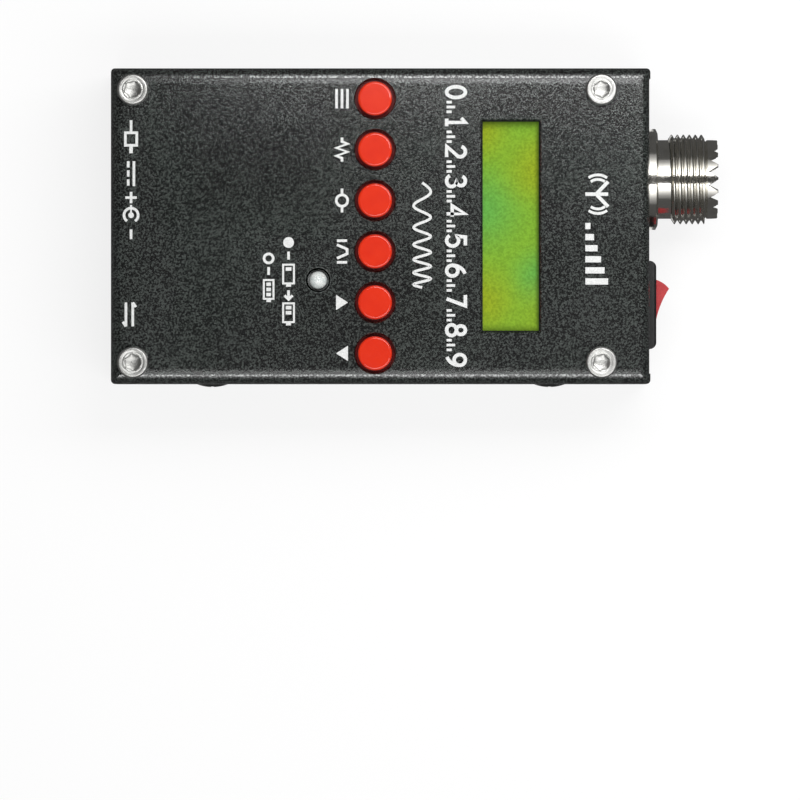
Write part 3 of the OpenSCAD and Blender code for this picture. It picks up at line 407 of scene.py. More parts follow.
@dataclass(frozen=True)
class Moulding:
    """Moulded plastic or rubber with a faint spark texture and uneven tone."""

    name: str
    colour: Colour
    deep: Colour
    roughness: float = 0.4
    spark: float = 3200.0
    depth: float = 0.006 * MM
    flow: float = 260.0
    flow_span: Point2 = (0.3, 0.75)
    coat: float = 0.0
    coat_roughness: float = 0.12

    def tone(self, plastic: Surface) -> Value:
        """Gives the colour, which drifts a little over the piece."""
        flow = plastic.noise(self.flow, 3.0).ramp(*self.flow_span)
        return plastic.mix(flow, self.colour, self.deep)

    def material(self) -> bpy.types.Material:
        """Makes the material."""
        plastic = Surface(self.name)
        spark = plastic.noise(self.spark)
        return plastic.finish({"Base Color": self.tone(plastic),
                               "Roughness": spark.about(self.roughness, 0.05),
                               "Coat Weight": self.coat, "Coat Roughness": self.coat_roughness,
                               "Normal": plastic.bump(spark, self.depth)})


@dataclass(frozen=True)
class KeyPlastic(Moulding):
    """Key plastic with painted shade: dark in the narrow gap below the face."""

    # painted shade of the gap below the face: the colour the caps darken to down the gap
    grit_dust_and_gap_shade: Colour = (0.22, 0.003, 0.002)
    gap: Point2 = (23.6 * MM, 24.3 * MM)

    def tone(self, plastic: Surface) -> Value:
        """Gives the colour, with painted shade that darkens it down the gap."""
        return plastic.mix(plastic.axis("Z").ramp(*self.gap), self.grit_dust_and_gap_shade, super().tone(plastic))


@dataclass(frozen=True)
class MilkyResin:
    """Milky clear resin of the charge lamp."""

    name: str
    colour: Colour
    deep: Colour
    milk: float = 900.0
    milk_span: Point2 = (0.35, 0.7)
    scatter: float = 0.6 * MM
    depth: float = 0.004 * MM

    def material(self) -> bpy.types.Material:
        """Makes the material."""
        resin = Surface(self.name)
        milk = resin.noise(self.milk, 3.0).ramp(*self.milk_span)
        return resin.finish({"Base Color": resin.mix(milk, self.colour, self.deep),
                             "Roughness": 0.09 + milk * 0.05, "Subsurface Weight": 0.25,
                             "Subsurface Radius": (self.scatter, self.scatter, self.scatter),
                             "Normal": resin.bump(milk, self.depth)})


@dataclass(frozen=True)
class LitCell:
    """Glass over a lit yellow-green liquid crystal cell.

    Each spot of another tone has the edge of the window that it lies at, 0 for the low and 1
    for the high end of X, its Y, and the radius at which it has faded out.
    """

    name: str
    leaf: Colour
    amber: Colour
    mint: Colour
    dusk: Colour
    window: tuple[Point2, Point2] = ((17.75 * MM, -18.6 * MM), (28.05 * MM, 18.6 * MM))
    mint_spots: tuple[Spot, ...] = ((0, 3.0 * MM, 10.0 * MM), (1, -9.0 * MM, 7.0 * MM))
    amber_spots: tuple[Spot, ...] = ((0, 16.6 * MM, 7.0 * MM), (1, 10.0 * MM, 9.0 * MM),
                                     (0, -13.0 * MM, 9.0 * MM))
    amber_span: Point2 = (0.46, 0.64)
    grain_span: Point2 = (0.3, 0.72)
    shadow: float = 1.1 * MM
    glow: float = 0.32

    def frame_shade(self, cell: Surface) -> Value:
        """Gives the shade that the window's edges throw: narrow in X, wide at high Y, faint at low Y."""
        (_, low), (right, high) = self.window
        beside = (right - cell.axis("X")).ramp(self.shadow, 0.0)
        above = (high - cell.axis("Y")).ramp(self.shadow * 1.9, 0.0)
        below = (cell.axis("Y") - low).ramp(self.shadow * 1.6, 0.0) * 0.6
        return beside.math("MAXIMUM", above).math("MAXIMUM", below)

    def material(self) -> bpy.types.Material:
        """Makes the material."""
        cell = Surface(self.name)
        grain = cell.noise(2600.0)
        drift = cell.noise(120.0)
        tone = self.leaf
        for edge, y, reach in self.mint_spots:
            spot = cell.spot((self.window[edge][0], y), reach)
            tone = cell.mix(spot * 0.75, tone, self.mint)
        for edge, y, reach in self.amber_spots:
            spot = cell.spot((self.window[edge][0], y), reach)
            tone = cell.mix(spot * (0.45 + drift * 0.6), tone, self.amber)
        tone = cell.mix(cell.noise(62.0, 1.0).ramp(*self.amber_span) * 0.25, tone, self.amber)
        tone = cell.mix(self.frame_shade(cell) * 0.75, tone, self.dusk)
        tone = cell.mix(grain.ramp(*self.grain_span) * 0.3, tone, self.dusk)
        return cell.finish({"Base Color": tone, "Roughness": 0.05 + grain * 0.03,
                            "Emission Color": tone, "Emission Strength": self.glow,
                            "Coat Weight": 0.3, "Coat Roughness": 0.03})


@dataclass(frozen=True)
class BoardLaminate:
    """Green solder mask over copper runs."""

    name: str
    mask: Colour
    run: Colour
    run_scale: float = 300.0
    run_gap: float = 0.03
    run_cell: Point2 = (1.6, 0.45)
    weave: float = 2400.0
    relief: float = 0.03 * MM

    def material(self) -> bpy.types.Material:
        """Makes the material."""
        board = Surface(self.name)
        width, height = self.run_cell
        runs = board.node("ShaderNodeTexBrick", {"offset": 0.5, "squash": 1.0},
                          {"Vector": board.place, "Color1": grey(0.0), "Color2": grey(0.2),
                           "Mortar": grey(1.0), "Scale": self.run_scale, "Mortar Size": self.run_gap,
                           "Brick Width": width, "Row Height": height}, "Fac")
        weave = board.noise(self.weave, 1.0)
        tone = board.mix(runs * 0.8, board.mix(weave * 0.3, self.mask, self.run), self.run)
        return board.finish({"Base Color": tone, "Roughness": 0.3 + weave * 0.1,
                             "Normal": board.bump(runs * 0.6 + weave * 0.4, self.relief)})


@dataclass(frozen=True)
class Grit:
    """Sintered, foamed or printed stuff: a dull colour with fine cells."""

    name: str
    colour: Colour
    pore: Colour
    scale: float
    depth: float
    roughness: float = 0.8
    pore_span: Point2 = (0.2, 0.8)

    def material(self) -> bpy.types.Material:
        """Makes the material."""
        stuff = Surface(self.name)
        pores = stuff.cells(self.scale)
        grit_dust_and_gap_shade = stuff.noise(self.scale * 0.4, 3.0)
        tone = stuff.mix((pores * 0.6 + grit_dust_and_gap_shade * 0.4).ramp(*self.pore_span), self.pore, self.colour)
        return stuff.finish({"Base Color": tone, "Roughness": grit_dust_and_gap_shade.about(self.roughness, 0.1),
                             "Normal": stuff.bump(pores, self.depth)})


FINISHES: dict[str, Finish] = {
    # the powder coat's pit colour carries painted shade and its crest colour painted highlight
    "black_powder_coat": PowderCoat("powder_coat", shade(3, 5, 4), shade(64, 71, 67)),
    "bright_steel": PlatedMetal("bright_zinc", (0.6, 0.6, 0.58), (0.4, 0.4, 0.38), 0.4,
                                (2600.0, 2600.0, 9000.0), 0.015 * MM),
    "blackened_steel": PlatedMetal("blackened_steel", grey(0.05), grey(0.02), 0.34),
    "brass": PlatedMetal("turned_brass", (0.72, 0.55, 0.25), (0.5, 0.35, 0.14), 0.25,
                         (500.0, 500.0, 9000.0)),
    # the keys' plastic carries painted shade down the gap below the face
    "red_key_plastic": KeyPlastic("red_key", shade(235, 49, 10), shade(229, 43, 8), 0.22,
                                  depth=0.003 * MM, coat=0.7),
    "black_plastic": Moulding("black_moulding", shade(34, 34, 34), shade(22, 22, 23), 0.38),
    "milky_lens": MilkyResin("milky_resin", shade(240, 243, 240), shade(216, 224, 222)),
    "white_nylon": Moulding("white_nylon", shade(236, 236, 228), shade(222, 221, 210), 0.45),
    "tinned_metal": PlatedMetal("tin_plate", (0.72, 0.71, 0.68), (0.5, 0.5, 0.47), 0.26),
    "black_foam": Grit("black_foam", shade(38, 38, 39), shade(14, 14, 14), 2600.0, 0.12 * MM, 0.95),
    "display_glass": LitCell("lit_cell", shade(120, 164, 50), shade(146, 156, 30),
                             shade(86, 162, 76), shade(50, 68, 18)),
    "circuit_board": BoardLaminate("solder_mask", shade(14, 78, 44), shade(52, 120, 66)),
    "chip_resin": Grit("chip_resin", shade(44, 44, 46), shade(30, 30, 32), 9000.0, 0.01 * MM, 0.6),
    "ferrite": Grit("ferrite", shade(70, 70, 74), shade(38, 38, 42), 6000.0, 0.02 * MM, 0.65),
    "can_aluminium": PlatedMetal("drawn_can", (0.78, 0.78, 0.8), (0.6, 0.6, 0.62), 0.28),
    "nickel_plate": PlatedMetal("bright_nickel", (0.8, 0.78, 0.73), (0.56, 0.54, 0.48), 0.14),
    "white_insulator": Moulding("turned_insulator", shade(236, 236, 230), shade(218, 218, 210), 0.5),
    "gilt_contact": PlatedMetal("gilt", (0.86, 0.66, 0.3), (0.66, 0.46, 0.18), 0.2),
    "copper_wire": PlatedMetal("bare_copper", (0.84, 0.45, 0.28), (0.5, 0.24, 0.12), 0.24),
    "red_rocker_plastic": Moulding("rocker_red", shade(204, 66, 68), shade(186, 54, 58), 0.3,
                                   coat=0.5),
    "red_wire": Moulding("wire_jacket", shade(186, 30, 26), shade(160, 22, 20), 0.42),
    "cell_foil": PlatedMetal("cell_foil", (0.7, 0.71, 0.73), (0.52, 0.53, 0.55), 0.36,
                             (900.0, 900.0, 900.0)),
    "white_tape": Moulding("white_tape", shade(232, 232, 226), shade(212, 212, 204), 0.7),
}
PRINT = Grit("white_print", shade(246, 247, 246), shade(214, 216, 214), 5200.0, 0.004 * MM, 0.5)


class Paints:
    """The finished materials, each made once."""

    def __init__(self) -> None:
        """Starts with no material made."""
        self.made: dict[str, bpy.types.Material] = {}
        rows = frame["record"]["subparts"]
        self.slots = {row["node"]: row["material_slot"] for row in rows}

    def of(self, finish: Finish) -> bpy.types.Material:
        """Gives a finish's material.

        Args:
            finish: The finish.

        Returns:
            Its material.
        """
        if finish.name not in self.made:
            self.made[finish.name] = finish.material()
        return self.made[finish.name]

    def dress(self, nodes: Iterable[str]) -> None:
        """Gives each CAD node the finish of its slot.

        Args:
            nodes: The nodes' names.
        """
        for node in nodes:
            mesh = frame["nodes"][node].data
            mesh.materials.clear()
            mesh.materials.append(self.of(FINISHES[self.slots[node]]))
            log.info("dressed %s in %s", node, self.slots[node])


PAINTS = Paints()


# ---- shapes ----


def arc(centre: Point2, radii: Point2, start: float, end: float, steps: int = 12) -> list[Point2]:
    """Makes the points of an arc.

    Args:
        centre: Its centre.
        radii: Its radius along each axis.
        start: The angle where it starts, in degrees.
        end: The angle where it ends, in degrees.
        steps: How many steps it has.

    Returns:
        The points.
    """
    turns = [math.radians(start + (end - start) * i / steps) for i in range(steps + 1)]
    return [(centre[0] + radii[0] * math.cos(t), centre[1] + radii[1] * math.sin(t)) for t in turns]


def circle(centre: Point2, radius: float, steps: int = 24) -> list[Point2]:
    """Makes the points of a circle, which ends on its first point."""
    return arc(centre, (radius, radius), 0, 360, steps)


def dash(start: float, end: float, height: float) -> list[Point2]:
    """Makes a straight path along the first axis."""
    return [(start, height), (end, height)]


def upright(along: float, low: float, high: float) -> list[Point2]:
    """Makes a straight path along the second axis."""
    return [(along, low), (along, high)]


def band(count: int) -> list[Face]:
    """Lists the faces between two loops of points that follow each other."""
    return [(i, (i + 1) % count, count + (i + 1) % count, count + i) for i in range(count)]


def ring(radius: float, height: float) -> Row:
    """Makes a plain round row of a turned section."""
    return lambda turn: (radius, height)


def turned(row: Row, columns: int) -> list[Point3]:
    """Makes the points of one row of a turned form.

    Args:
        row: The row, which gives the radius and the height at an angle.
        columns: How many steps there are round the axis.

    Returns:
        The points, round the Z axis.
    """
    points = []
    for column in range(columns):
        turn = 2 * math.pi * column / columns
        radius, height = row(turn)
        points.append((radius * math.cos(turn), radius * math.sin(turn), height))
    return points


class Shape:
    """Points and faces of a piece while it is made."""

    def __init__(self) -> None:
        """Starts with nothing."""
        self.points: list[Vector] = []
        self.faces: list[Face] = []

    def add(self, points: Sequence[Sequence[float]], faces: Iterable[Sequence[int]],
            place: Matrix = Matrix()) -> None:
        """Adds a closed form.

        Args:
            points: Its points.
            faces: Its faces, which count from the first of those points.
            place: Where the form goes.
        """
        first = len(self.points)
        self.points += [place @ Vector(point) for point in points]
        self.faces += [tuple(first + i for i in face) for face in faces]

    def slab(self, outline: Sequence[Point2], low: float, high: float) -> None:
        """Adds a flat plate.

        Args:
            outline: Its outline, counter-clockwise.
            low: The height of its lower side.
            high: The height of its upper side.
        """
        count = len(outline)
        caps = [tuple(reversed(range(count))), tuple(range(count, 2 * count))]
        self.add([(x, y, z) for z in (low, high) for x, y in outline], band(count) + caps)

    def stroke(self, path: Sequence[Point2], width: float, low: float, high: float,
               place: Matrix = Matrix()) -> None:
        """Adds a stroke of even width along a path.

        Args:
            path: The middle of the stroke, which is a loop if it ends where it starts.
            width: Its width.
            low: The height of its lower side.
            high: The height of its upper side.
            place: Where it goes.
        """
        line = [Vector(point) for point in path]
        closed = (line[0] - line[-1]).length < width * MEETING
        if closed:
            line.pop()
        count = len(line)
        rims: list[tuple[Vector, Vector]] = []
        for i, here in enumerate(line):
            before = line[i - 1] if closed or i else here
            after = line[(i + 1) % count] if closed or i < count - 1 else here
            inward = (here - before).normalized()
            outward = (after - here).normalized()
            along = (inward + outward).normalized()
            side = Vector((-along.y, along.x))
            lean = inward if inward.length else outward
            mitre = width / 2 / max(0.5, abs(side.dot(Vector((-lean.y, lean.x)))))
            rims.append((here + side * mitre, here - side * mitre))
        points = [(*point, z) for z in (low, high) for rim in rims for point in rim]
        up = 2 * count
        faces: list[Face] = []
        for i in range(count if closed else count - 1):
            a, b = 2 * i, 2 * ((i + 1) % count)
            faces += [(a, b, b + 1, a + 1), (up + a, up + a + 1, up + b + 1, up + b),
                      (a, up + a, up + b, b), (a + 1, b + 1, up + b + 1, up + a + 1)]
        if not closed:
            end = 2 * (count - 1)
            faces += [(0, 1, up + 1, up), (end, up + end, up + end + 1, end + 1)]
        self.add(points, faces, place)

    def lathe(self, rows: Sequence[Row | float], columns: int, place: Matrix = Matrix()) -> None:
        """Adds a turned form whose section may change with the angle.

        Args:
            rows: Its section, from a height on the axis to another: each row between gives
                the radius and the height at an angle.
            columns: How many steps there are round the axis.
            place: Where it goes, with the axis along its Z.
        """
        points: list[Point3] = []
        rings: list[list[int]] = []
        for row in rows:
            first = len(points)
            if callable(row):
                points += turned(row, columns)
                rings.append(list(range(first, first + columns)))
            else:
                points.append((0.0, 0.0, row))
                rings.append([first] * columns)
        faces: list[Face] = []
        for low, high in zip(rings, rings[1:]):
            for i in range(columns):
                j = (i + 1) % columns
                faces.append(tuple(dict.fromkeys((low[i], low[j], high[j], high[i]))))
        self.add(points, faces, place)

    def piece(self, name: str, finish: Finish, body: str, slot: str | None = None,
              crease: float = 32.0) -> bpy.types.Object:
        """Turns the shape into a piece that rides on a body.

        Args:
            name: The piece's name.
            finish: Its finish.
            body: The body that it rides on.
            slot: Not used; the record's material slot, if it has one.
            crease: The angle in degrees above which an edge is sharp.

        Returns:
            The piece.
        """
        mesh = bpy.data.meshes.new(name)
        mesh.from_pydata(self.points, [], self.faces)
        work = bmesh.new()
        work.from_mesh(mesh)
        bmesh.ops.recalc_face_normals(work, faces=work.faces)
        for face in work.faces:
            face.smooth = True
        for edge in work.edges:
            edge.smooth = edge.is_manifold and edge.calc_face_angle() < math.radians(crease)
        work.to_mesh(mesh)
        work.free()
        mesh.materials.append(PAINTS.of(finish))
        made = bpy.data.objects.new(name, mesh)
        bpy.context.scene.collection.objects.link(made)
        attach(made, body)
        log.info("built %s: %d faces on %s", name, len(mesh.polygons), body)
        return made


class Turning:
    """Rows of a turned form and the faces between them, while a helix is let into them."""

    def __init__(self, columns: int) -> None:
        """Starts with nothing.

        Args:
            columns: How many steps there are round the axis.
        """
        self.columns = columns
        self.points: list[Point3] = []
        self.faces: list[Face] = []

    def put(self, rows: Iterable[Row]) -> list[int]:
        """Adds rows of points and gives the first point of each."""
        firsts = []
        for row in rows:
            firsts.append(len(self.points))
            self.points += turned(row, self.columns)
        return firsts

    def join(self, firsts: Sequence[int], steps: int) -> None:
        """Joins each row to the next.

        Args:
            firsts: The first point of each row.
            steps: Over how many steps from there the rows are joined.
        """
        for low, high in zip(firsts, firsts[1:]):
            for i in range(steps):
                j = (i + 1) % self.columns
                self.faces.append((low + i, low + j, high + j, high + i))


class Assembly:
    """A sub-assembly of the analyzer."""

    def build(self) -> None:
        """Builds what the CAD nodes only stand in for, which here is nothing."""

    def dress(self) -> None:
        """Paints the CAD nodes, of which there are none here."""


# ---- case and its screws ----


@dataclass
class Case(Assembly):
    """The folded front and rear shells and the screws that hold them."""

    columns: int = 96
    head_r: float = 2.75 * MM
    head_h: float = 2.0 * MM
    rim: float = 0.4 * MM
    rim_steps: int = 5
    land: float = 0.06 * MM
    groove_in: float = 0.25 * MM
    groove_w: float = 0.16 * MM
    groove_depth: float = 0.03 * MM
    knurl_depth: float = 0.1 * MM
    knurl_low: float = 0.25 * MM
    knurl_gap: float = 0.12 * MM
    foot: float = 0.1 * MM
    hex_r: float = 1.25 * MM / math.cos(math.radians(30))
    hex_depth: float = 1.3 * MM
    hex_chamfer: float = 0.16 * MM
    hex_lip: float = 0.064 * MM
    dish: float = 0.22 * MM
    dish_rows: int = 4
    shank_r: float = 1.5 * MM
    shank_l: float = 6.0 * MM
    tip: float = 0.3 * MM
    twist: float = 37.0

    def build(self) -> None:
        """Builds the face screws in full detail, no two neighbours turned the same way."""
        low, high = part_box("face_screws")
        seat = high.z - self.head_h
        shape = Shape()
        for x in (low.x + self.head_r, high.x - self.head_r):
            for y in (low.y + self.head_r, high.y - self.head_r):
                twist = Matrix.Rotation(math.radians(self.twist) * (1 if x * y > 0 else 2), 4, "Z")
                shape.lathe(self.screw_rows(), self.columns,
                            Matrix.Translation((x, y, seat)) @ twist)
        made = shape.piece("face_screws_turned", FINISHES["bright_steel"], "case", "bright_steel",
                           40.0)
        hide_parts("face_screws")

    def hexagon(self, height: float) -> Row:
        """Makes a row that follows the hexagon socket."""
        def row(turn: float) -> Point2:
            """Gives the hexagon's radius at an angle."""
            side = math.radians(60)
            off = turn % side - side / 2
            return self.hex_r * math.cos(side / 2) / math.cos(off), height
        return row

    def knurled(self, height: float) -> Row:
        """Makes a row of the head's side, where every second column is cut in."""
        step = 2 * math.pi / self.columns
        return lambda turn: (self.head_r - self.knurl_depth * (round(turn / step) % 2), height)

    def screw_rows(self) -> list[Row | float]:
        """Lists the section of a face screw, from its socket's floor out and down."""
        top, floor = self.head_h, self.head_h - self.hex_depth
        mouth = self.hex_r + self.hex_lip
        groove = mouth + self.groove_in
        rows: list[Row | float] = [floor - self.dish]
        for i in range(1, self.dish_rows):
            share = i / self.dish_rows
            rows.append(ring(share * self.hex_r, floor - self.dish * (1 - share ** 2)))
        rows += [self.hexagon(floor), self.hexagon(top - self.hex_chamfer), ring(mouth, top),
                 ring(groove, top), ring(groove + self.groove_w / 2, top - self.groove_depth),
                 ring(groove + self.groove_w, top), ring(self.head_r - self.rim - self.land, top)]
        rows += [ring(radius, height) for radius, height in
                 reversed(arc((self.head_r - self.rim, top - self.rim), (self.rim, self.rim), 0, 90,
                              self.rim_steps))]
        rows += [self.knurled(top - self.rim - self.knurl_gap), self.knurled(self.knurl_low),
                 ring(self.head_r - self.foot, self.foot), ring(self.head_r - 2 * self.foot, 0.0),
                 ring(self.shank_r, 0.0), ring(self.shank_r, self.tip - self.shank_l),
                 ring(self.shank_r - self.tip, -self.shank_l), -self.shank_l]
        return rows

    def dress(self) -> None:
        """Paints the shells and what holds them."""
        PAINTS.dress(["front_shell", "rear_shell", "side_screws", "clinch_nuts", "board_pillars",
                      "board_screws", "face_screws"])


# ---- antenna socket ----


@dataclass
class AntennaSocket(Assembly):
    """The nickel-plated antenna socket: flange, neck, helical thread and toothed crown.

    The thread's section gives places in one pitch, and how far each stands up.
    """

    columns: int = 216
    stub_r: float = 7.0 * MM
    stub_bore_r: float = 4.6 * MM
    seat_r: float = 5.8 * MM
    seat_low: float = 2.0 * MM
    mouth_r: float = 6.1 * MM
    mouth_floor: float = 7.8 * MM
    flange_r: float = 8.95 * MM
    flange_t: float = 1.7 * MM
    flange_bevel: Point2 = (0.7 * MM, 0.35 * MM)
    neck_r: float = 6.975 * MM
    root_r: float = 7.29 * MM
    crest_r: float = 7.9375 * MM
    pitch: float = 1.058 * MM
    section: tuple[Point2, ...] = ((0.0, 0.0), (0.07, 0.05), (0.40, 0.93), (0.45, 1.0),
                                   (0.55, 1.0), (0.60, 0.93), (0.93, 0.05))
    first_crest: float = 4.2 * MM
    lead_in: float = 0.75
    turns: int = 6
    run_out: float = 70.0
    relief_low: float = 10.05 * MM
    relief_w: float = 0.42 * MM
    relief_depth: float = 0.25 * MM
    row_gap: float = 0.002 * MM
    end_gap: float = 0.01 * MM
    length: float = 12.3 * MM
    tooth_depth: float = 1.7 * MM
    tooth_flat: float = 1 / 12
    teeth: int = 18
    edge: float = 0.1 * MM

    def build(self) -> None:
        """Builds the socket with its real helix."""
        low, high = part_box("antenna_socket")
        panel = high.x - self.length
        axis_y, axis_z = (low.y + high.y) / 2, (low.z + high.z) / 2
        work = Turning(self.columns)
        self.turn(work, low.x - panel)
        shape = Shape()
        shape.add(work.points, work.faces, Matrix.Translation((panel, axis_y, axis_z)) @ ALONG_X)
        made = shape.piece("antenna_socket_turned", FINISHES["nickel_plate"], "case",
                           "nickel_plate")
        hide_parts("antenna_socket")

    @property
    def thread_start(self) -> float:
        """Gives the height at which the thread starts."""
        return self.first_crest - self.lead_in * self.pitch

    def crown(self, radius: float, drop: float = 0.0) -> Row:
        """Makes a row along the toothed rim.

        Args:
            radius: The row's radius.
            drop: How far it lies below the rim.

        Returns:
            The row.
        """
        def row(turn: float) -> Point2:
            """Gives the rim's height at an angle."""
            share = (turn * self.teeth / (2 * math.pi)) % 1.0
            off = min(abs(share - 0.5) / (0.5 - self.tooth_flat), 1.0)
            return radius, self.length - drop - self.tooth_depth * (1 - off)
        return row

    def helix(self, lap: int, number: int) -> Row:
        """Makes a helical row, which stays below the relief groove and the rows after it.

        Args:
            lap: The turn of the thread that the row starts on.
            number: The row's place in the thread's section.

        Returns:
            The row.
        """
        share, lift = self.section[number]
        rows_left = (self.turns - lap) * len(self.section) - number
        top = self.relief_low - 3 * self.end_gap - rows_left * self.row_gap

        def row(turn: float) -> Point2:
            """Gives the thread's radius and height at an angle."""
            done = lap + turn / (2 * math.pi)
            left = self.turns - done
            grow = max(0.0, min(1.0, done * 360 / self.run_out, left * 360 / self.run_out))
            crest = self.root_r + lift * (self.crest_r - self.root_r)
            radius = self.neck_r + (grow * (crest - self.neck_r) if lap < self.turns else 0.0)
            return radius, min(self.thread_start + (done + share) * self.pitch, top)
        return row

    def thread_foot(self, turn: float) -> Point2:
        """Gives the foot of the first lap's rise out of the neck at an angle."""
        before = self.section[-1][0] - 1.0
        return self.neck_r, self.thread_start + (turn / (2 * math.pi) + before) * self.pitch

    def turn(self, work: Turning, stub: float) -> None:
        """Turns the socket, with the thread's helix let into its outer wall.

        Args:
            work: The turning that takes it.
            stub: The height of the stub's end.
        """
        steps, tail = len(self.section), self.columns - 1
        outer = work.put([
            ring(self.stub_bore_r, stub), ring(self.stub_r - self.edge, stub),
            ring(self.stub_r, stub + self.edge), ring(self.stub_r, -self.edge),
            ring(self.stub_r, 0.0), ring(self.flange_r - self.edge, 0.0),
            ring(self.flange_r, self.edge), ring(self.flange_r, self.flange_t - self.flange_bevel[1]),
            ring(self.flange_r - self.flange_bevel[0], self.flange_t),
            ring(self.neck_r, self.flange_t), ring(self.neck_r, self.flange_t + self.edge)])
        work.join(outer, self.columns)
        laps = work.put([self.thread_foot]
                        + [self.helix(lap, i) for lap in range(self.turns) for i in range(steps)]
                        + [self.helix(self.turns, 0)])
        work.join(laps, tail)
        for low, near, far, high in zip(laps, laps[steps:], laps[steps + 1:], laps[1:]):
            work.faces.append((low + tail, near, far, high + tail))
        work.join([outer[-1], laps[0]], tail)
        work.faces.append((outer[-1] + tail, outer[-1], *laps[:steps + 1], laps[0] + tail))
        inner = work.put([
            ring(self.neck_r, self.relief_low - self.end_gap), ring(self.neck_r, self.relief_low),
            ring(self.neck_r - self.relief_depth, self.relief_low + self.relief_w / 2),
            ring(self.neck_r, self.relief_low + self.relief_w),
            self.crown(self.neck_r, self.edge), self.crown(self.neck_r - self.edge),
            self.crown(self.mouth_r + self.edge), self.crown(self.mouth_r, self.edge),
            ring(self.mouth_r, self.mouth_floor), ring(self.seat_r, self.mouth_floor),
            ring(self.seat_r, self.seat_low), ring(self.stub_bore_r, self.seat_low)])
        work.join([laps[-1], inner[0]], tail)
        seam = [low + tail for low in reversed(laps[-steps:])]
        work.faces.append((laps[-steps - 1] + tail, laps[-1], inner[0], inner[0] + tail, *seam))
        work.join([*inner, outer[0]], self.columns)

    def dress(self) -> None:
        """Paints the pieces inside and behind the socket."""
        PAINTS.dress(["antenna_socket", "antenna_insulator", "antenna_contact", "antenna_nut",
                      "antenna_washer", "ground_tag", "antenna_lead"])


# ---- keys, display, lamp and what lies inside ----


@dataclass
class KeyRow(Assembly):
    """Six red keys on their plungers, over their switches."""

    count: int = 6

    def dress(self) -> None:
        """Paints the caps, plungers and switches."""
        numbers = range(1, self.count + 1)
        PAINTS.dress([f"key_{kind}_{i}" for kind in ("cap", "plunger") for i in numbers]
                     + ["key_switch_bases", "key_switch_covers"])


class Display(Assembly):
    """The lit display behind its window."""

    def dress(self) -> None:
        """Paints the display's glass, gasket, light box and pins."""
        PAINTS.dress(["display_glass", "display_gasket", "display_light_box", "display_pins"])


class ChargeLamp(Assembly):
    """The milky charge lamp."""

    def dress(self) -> None:
        """Paints the lamp, its spacer and its leads."""
        PAINTS.dress(["charge_lamp", "lamp_spacer", "lamp_leads"])


class Inside(Assembly):
    """The circuit board, its parts and the battery."""

    def dress(self) -> None:
        """Paints what lies inside the case."""
        PAINTS.dress(["main_board", "controller_chip", "synthesizer_chip", "data_chip", "clock_can",
                      "supply_coil", "smoothing_capacitors", "bridge_core", "battery_cells",
                      "battery_tape", "battery_guard", "battery_plug", "battery_leads", "foam_pad"])


# ---- switch and charging sockets ----


@dataclass
class PowerSwitch(Assembly):
    """The rocker switch beside the antenna socket."""

    pivot: Point3 = (47.3 * MM, -13.8 * MM, 12.0 * MM)
    tilt: float = 19.0
    tip_r: float = 4.7 * MM
    tip_angle: float = 57.0
    saddle: float = 0.5 * MM
    mark_v: float = 2.1 * MM
    mark_r: float = 0.75 * MM
    mark_w: float = 0.3 * MM
    proud: float = 0.04 * MM

    def build(self) -> None:
        """Prints the line and the circle on the rocker."""
        line_mark, circle_mark = Shape(), Shape()
        line_mark.stroke(dash(-self.mark_r, self.mark_r, 0.0), self.mark_w, -self.proud,
                         self.proud, self.on_rocker(self.mark_v))
        circle_mark.stroke(circle((0.0, 0.0), self.mark_r), self.mark_w, -2 * self.proud,
                           self.proud, self.on_rocker(-self.mark_v))
        line_mark.piece("rocker_line_mark", PRINT, "rocker")
        circle_mark.piece("rocker_circle_mark", PRINT, "rocker")

    def on_rocker(self, along: float) -> Matrix:
        """Gives a place on the rocker's hollow top.

        Args:
            along: How far it is from the middle, towards the raised end.

        Returns:
            The place, with its Z out of the rocker and its Y towards the raised end.
        """
        reach = self.tip_r * math.sin(math.radians(self.tip_angle))
        hollow_r = (reach ** 2 + self.saddle ** 2) / (2 * self.saddle)
        middle = self.tip_r * math.cos(math.radians(self.tip_angle)) - self.saddle
        lean = math.asin(along / hollow_r)
        height = middle + hollow_r * (1 - math.cos(lean))
        return (Matrix.Translation(self.pivot) @ Matrix.Rotation(math.radians(-self.tilt), 4, "Z")
                @ Matrix.Translation((height, along, 0.0)) @ Matrix.Rotation(-lean, 4, "Z") @ ALONG_X)

    def dress(self) -> None:
        """Paints the switch."""
        PAINTS.dress(["switch_frame", "power_rocker", "switch_contact", "switch_terminals",
                      "switch_leads"])


@dataclass
class ChargingSockets(Assembly):
    """The round power socket and the data socket."""

    contacts: int = 5
    pitch: float = 0.8 * MM
    width: float = 0.4 * MM
    rise: float = 0.05 * MM
    set_back: float = 0.4 * MM
    length: float = 4.5 * MM

    def build(self) -> None:
        """Lays the data socket's contacts, with their tapered ends, under its tongue."""
        low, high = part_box("data_socket_tongue")
        start, middle = low.x + self.set_back, (low.y + high.y) / 2
        taper, side, nose = start + self.width / 2, self.width / 2, self.width / 4
        end = start + self.length
        shape = Shape()
        for i in range(self.contacts):
            y = middle + (i - (self.contacts - 1) / 2) * self.pitch
            outline = [(taper, y - side), (end, y - side), (end, y + side), (taper, y + side),
                       (start, y + nose), (start, y - nose)]
            shape.slab(outline, low.z - self.rise, low.z + self.rise)
        shape.piece("data_socket_contacts", FINISHES["gilt_contact"], "case", "gilt_contact")

    def dress(self) -> None:
        """Paints both sockets."""
        PAINTS.dress(["power_jack", "power_jack_pin", "power_jack_spring", "data_socket_shell",
                      "data_socket_tongue"])


# ---- print on the face ----


class Line(Enum):
    """Widths of the printed strokes."""

    BOLD = 0.62 * MM
    PLAIN = 0.46 * MM
    FINE = 0.34 * MM


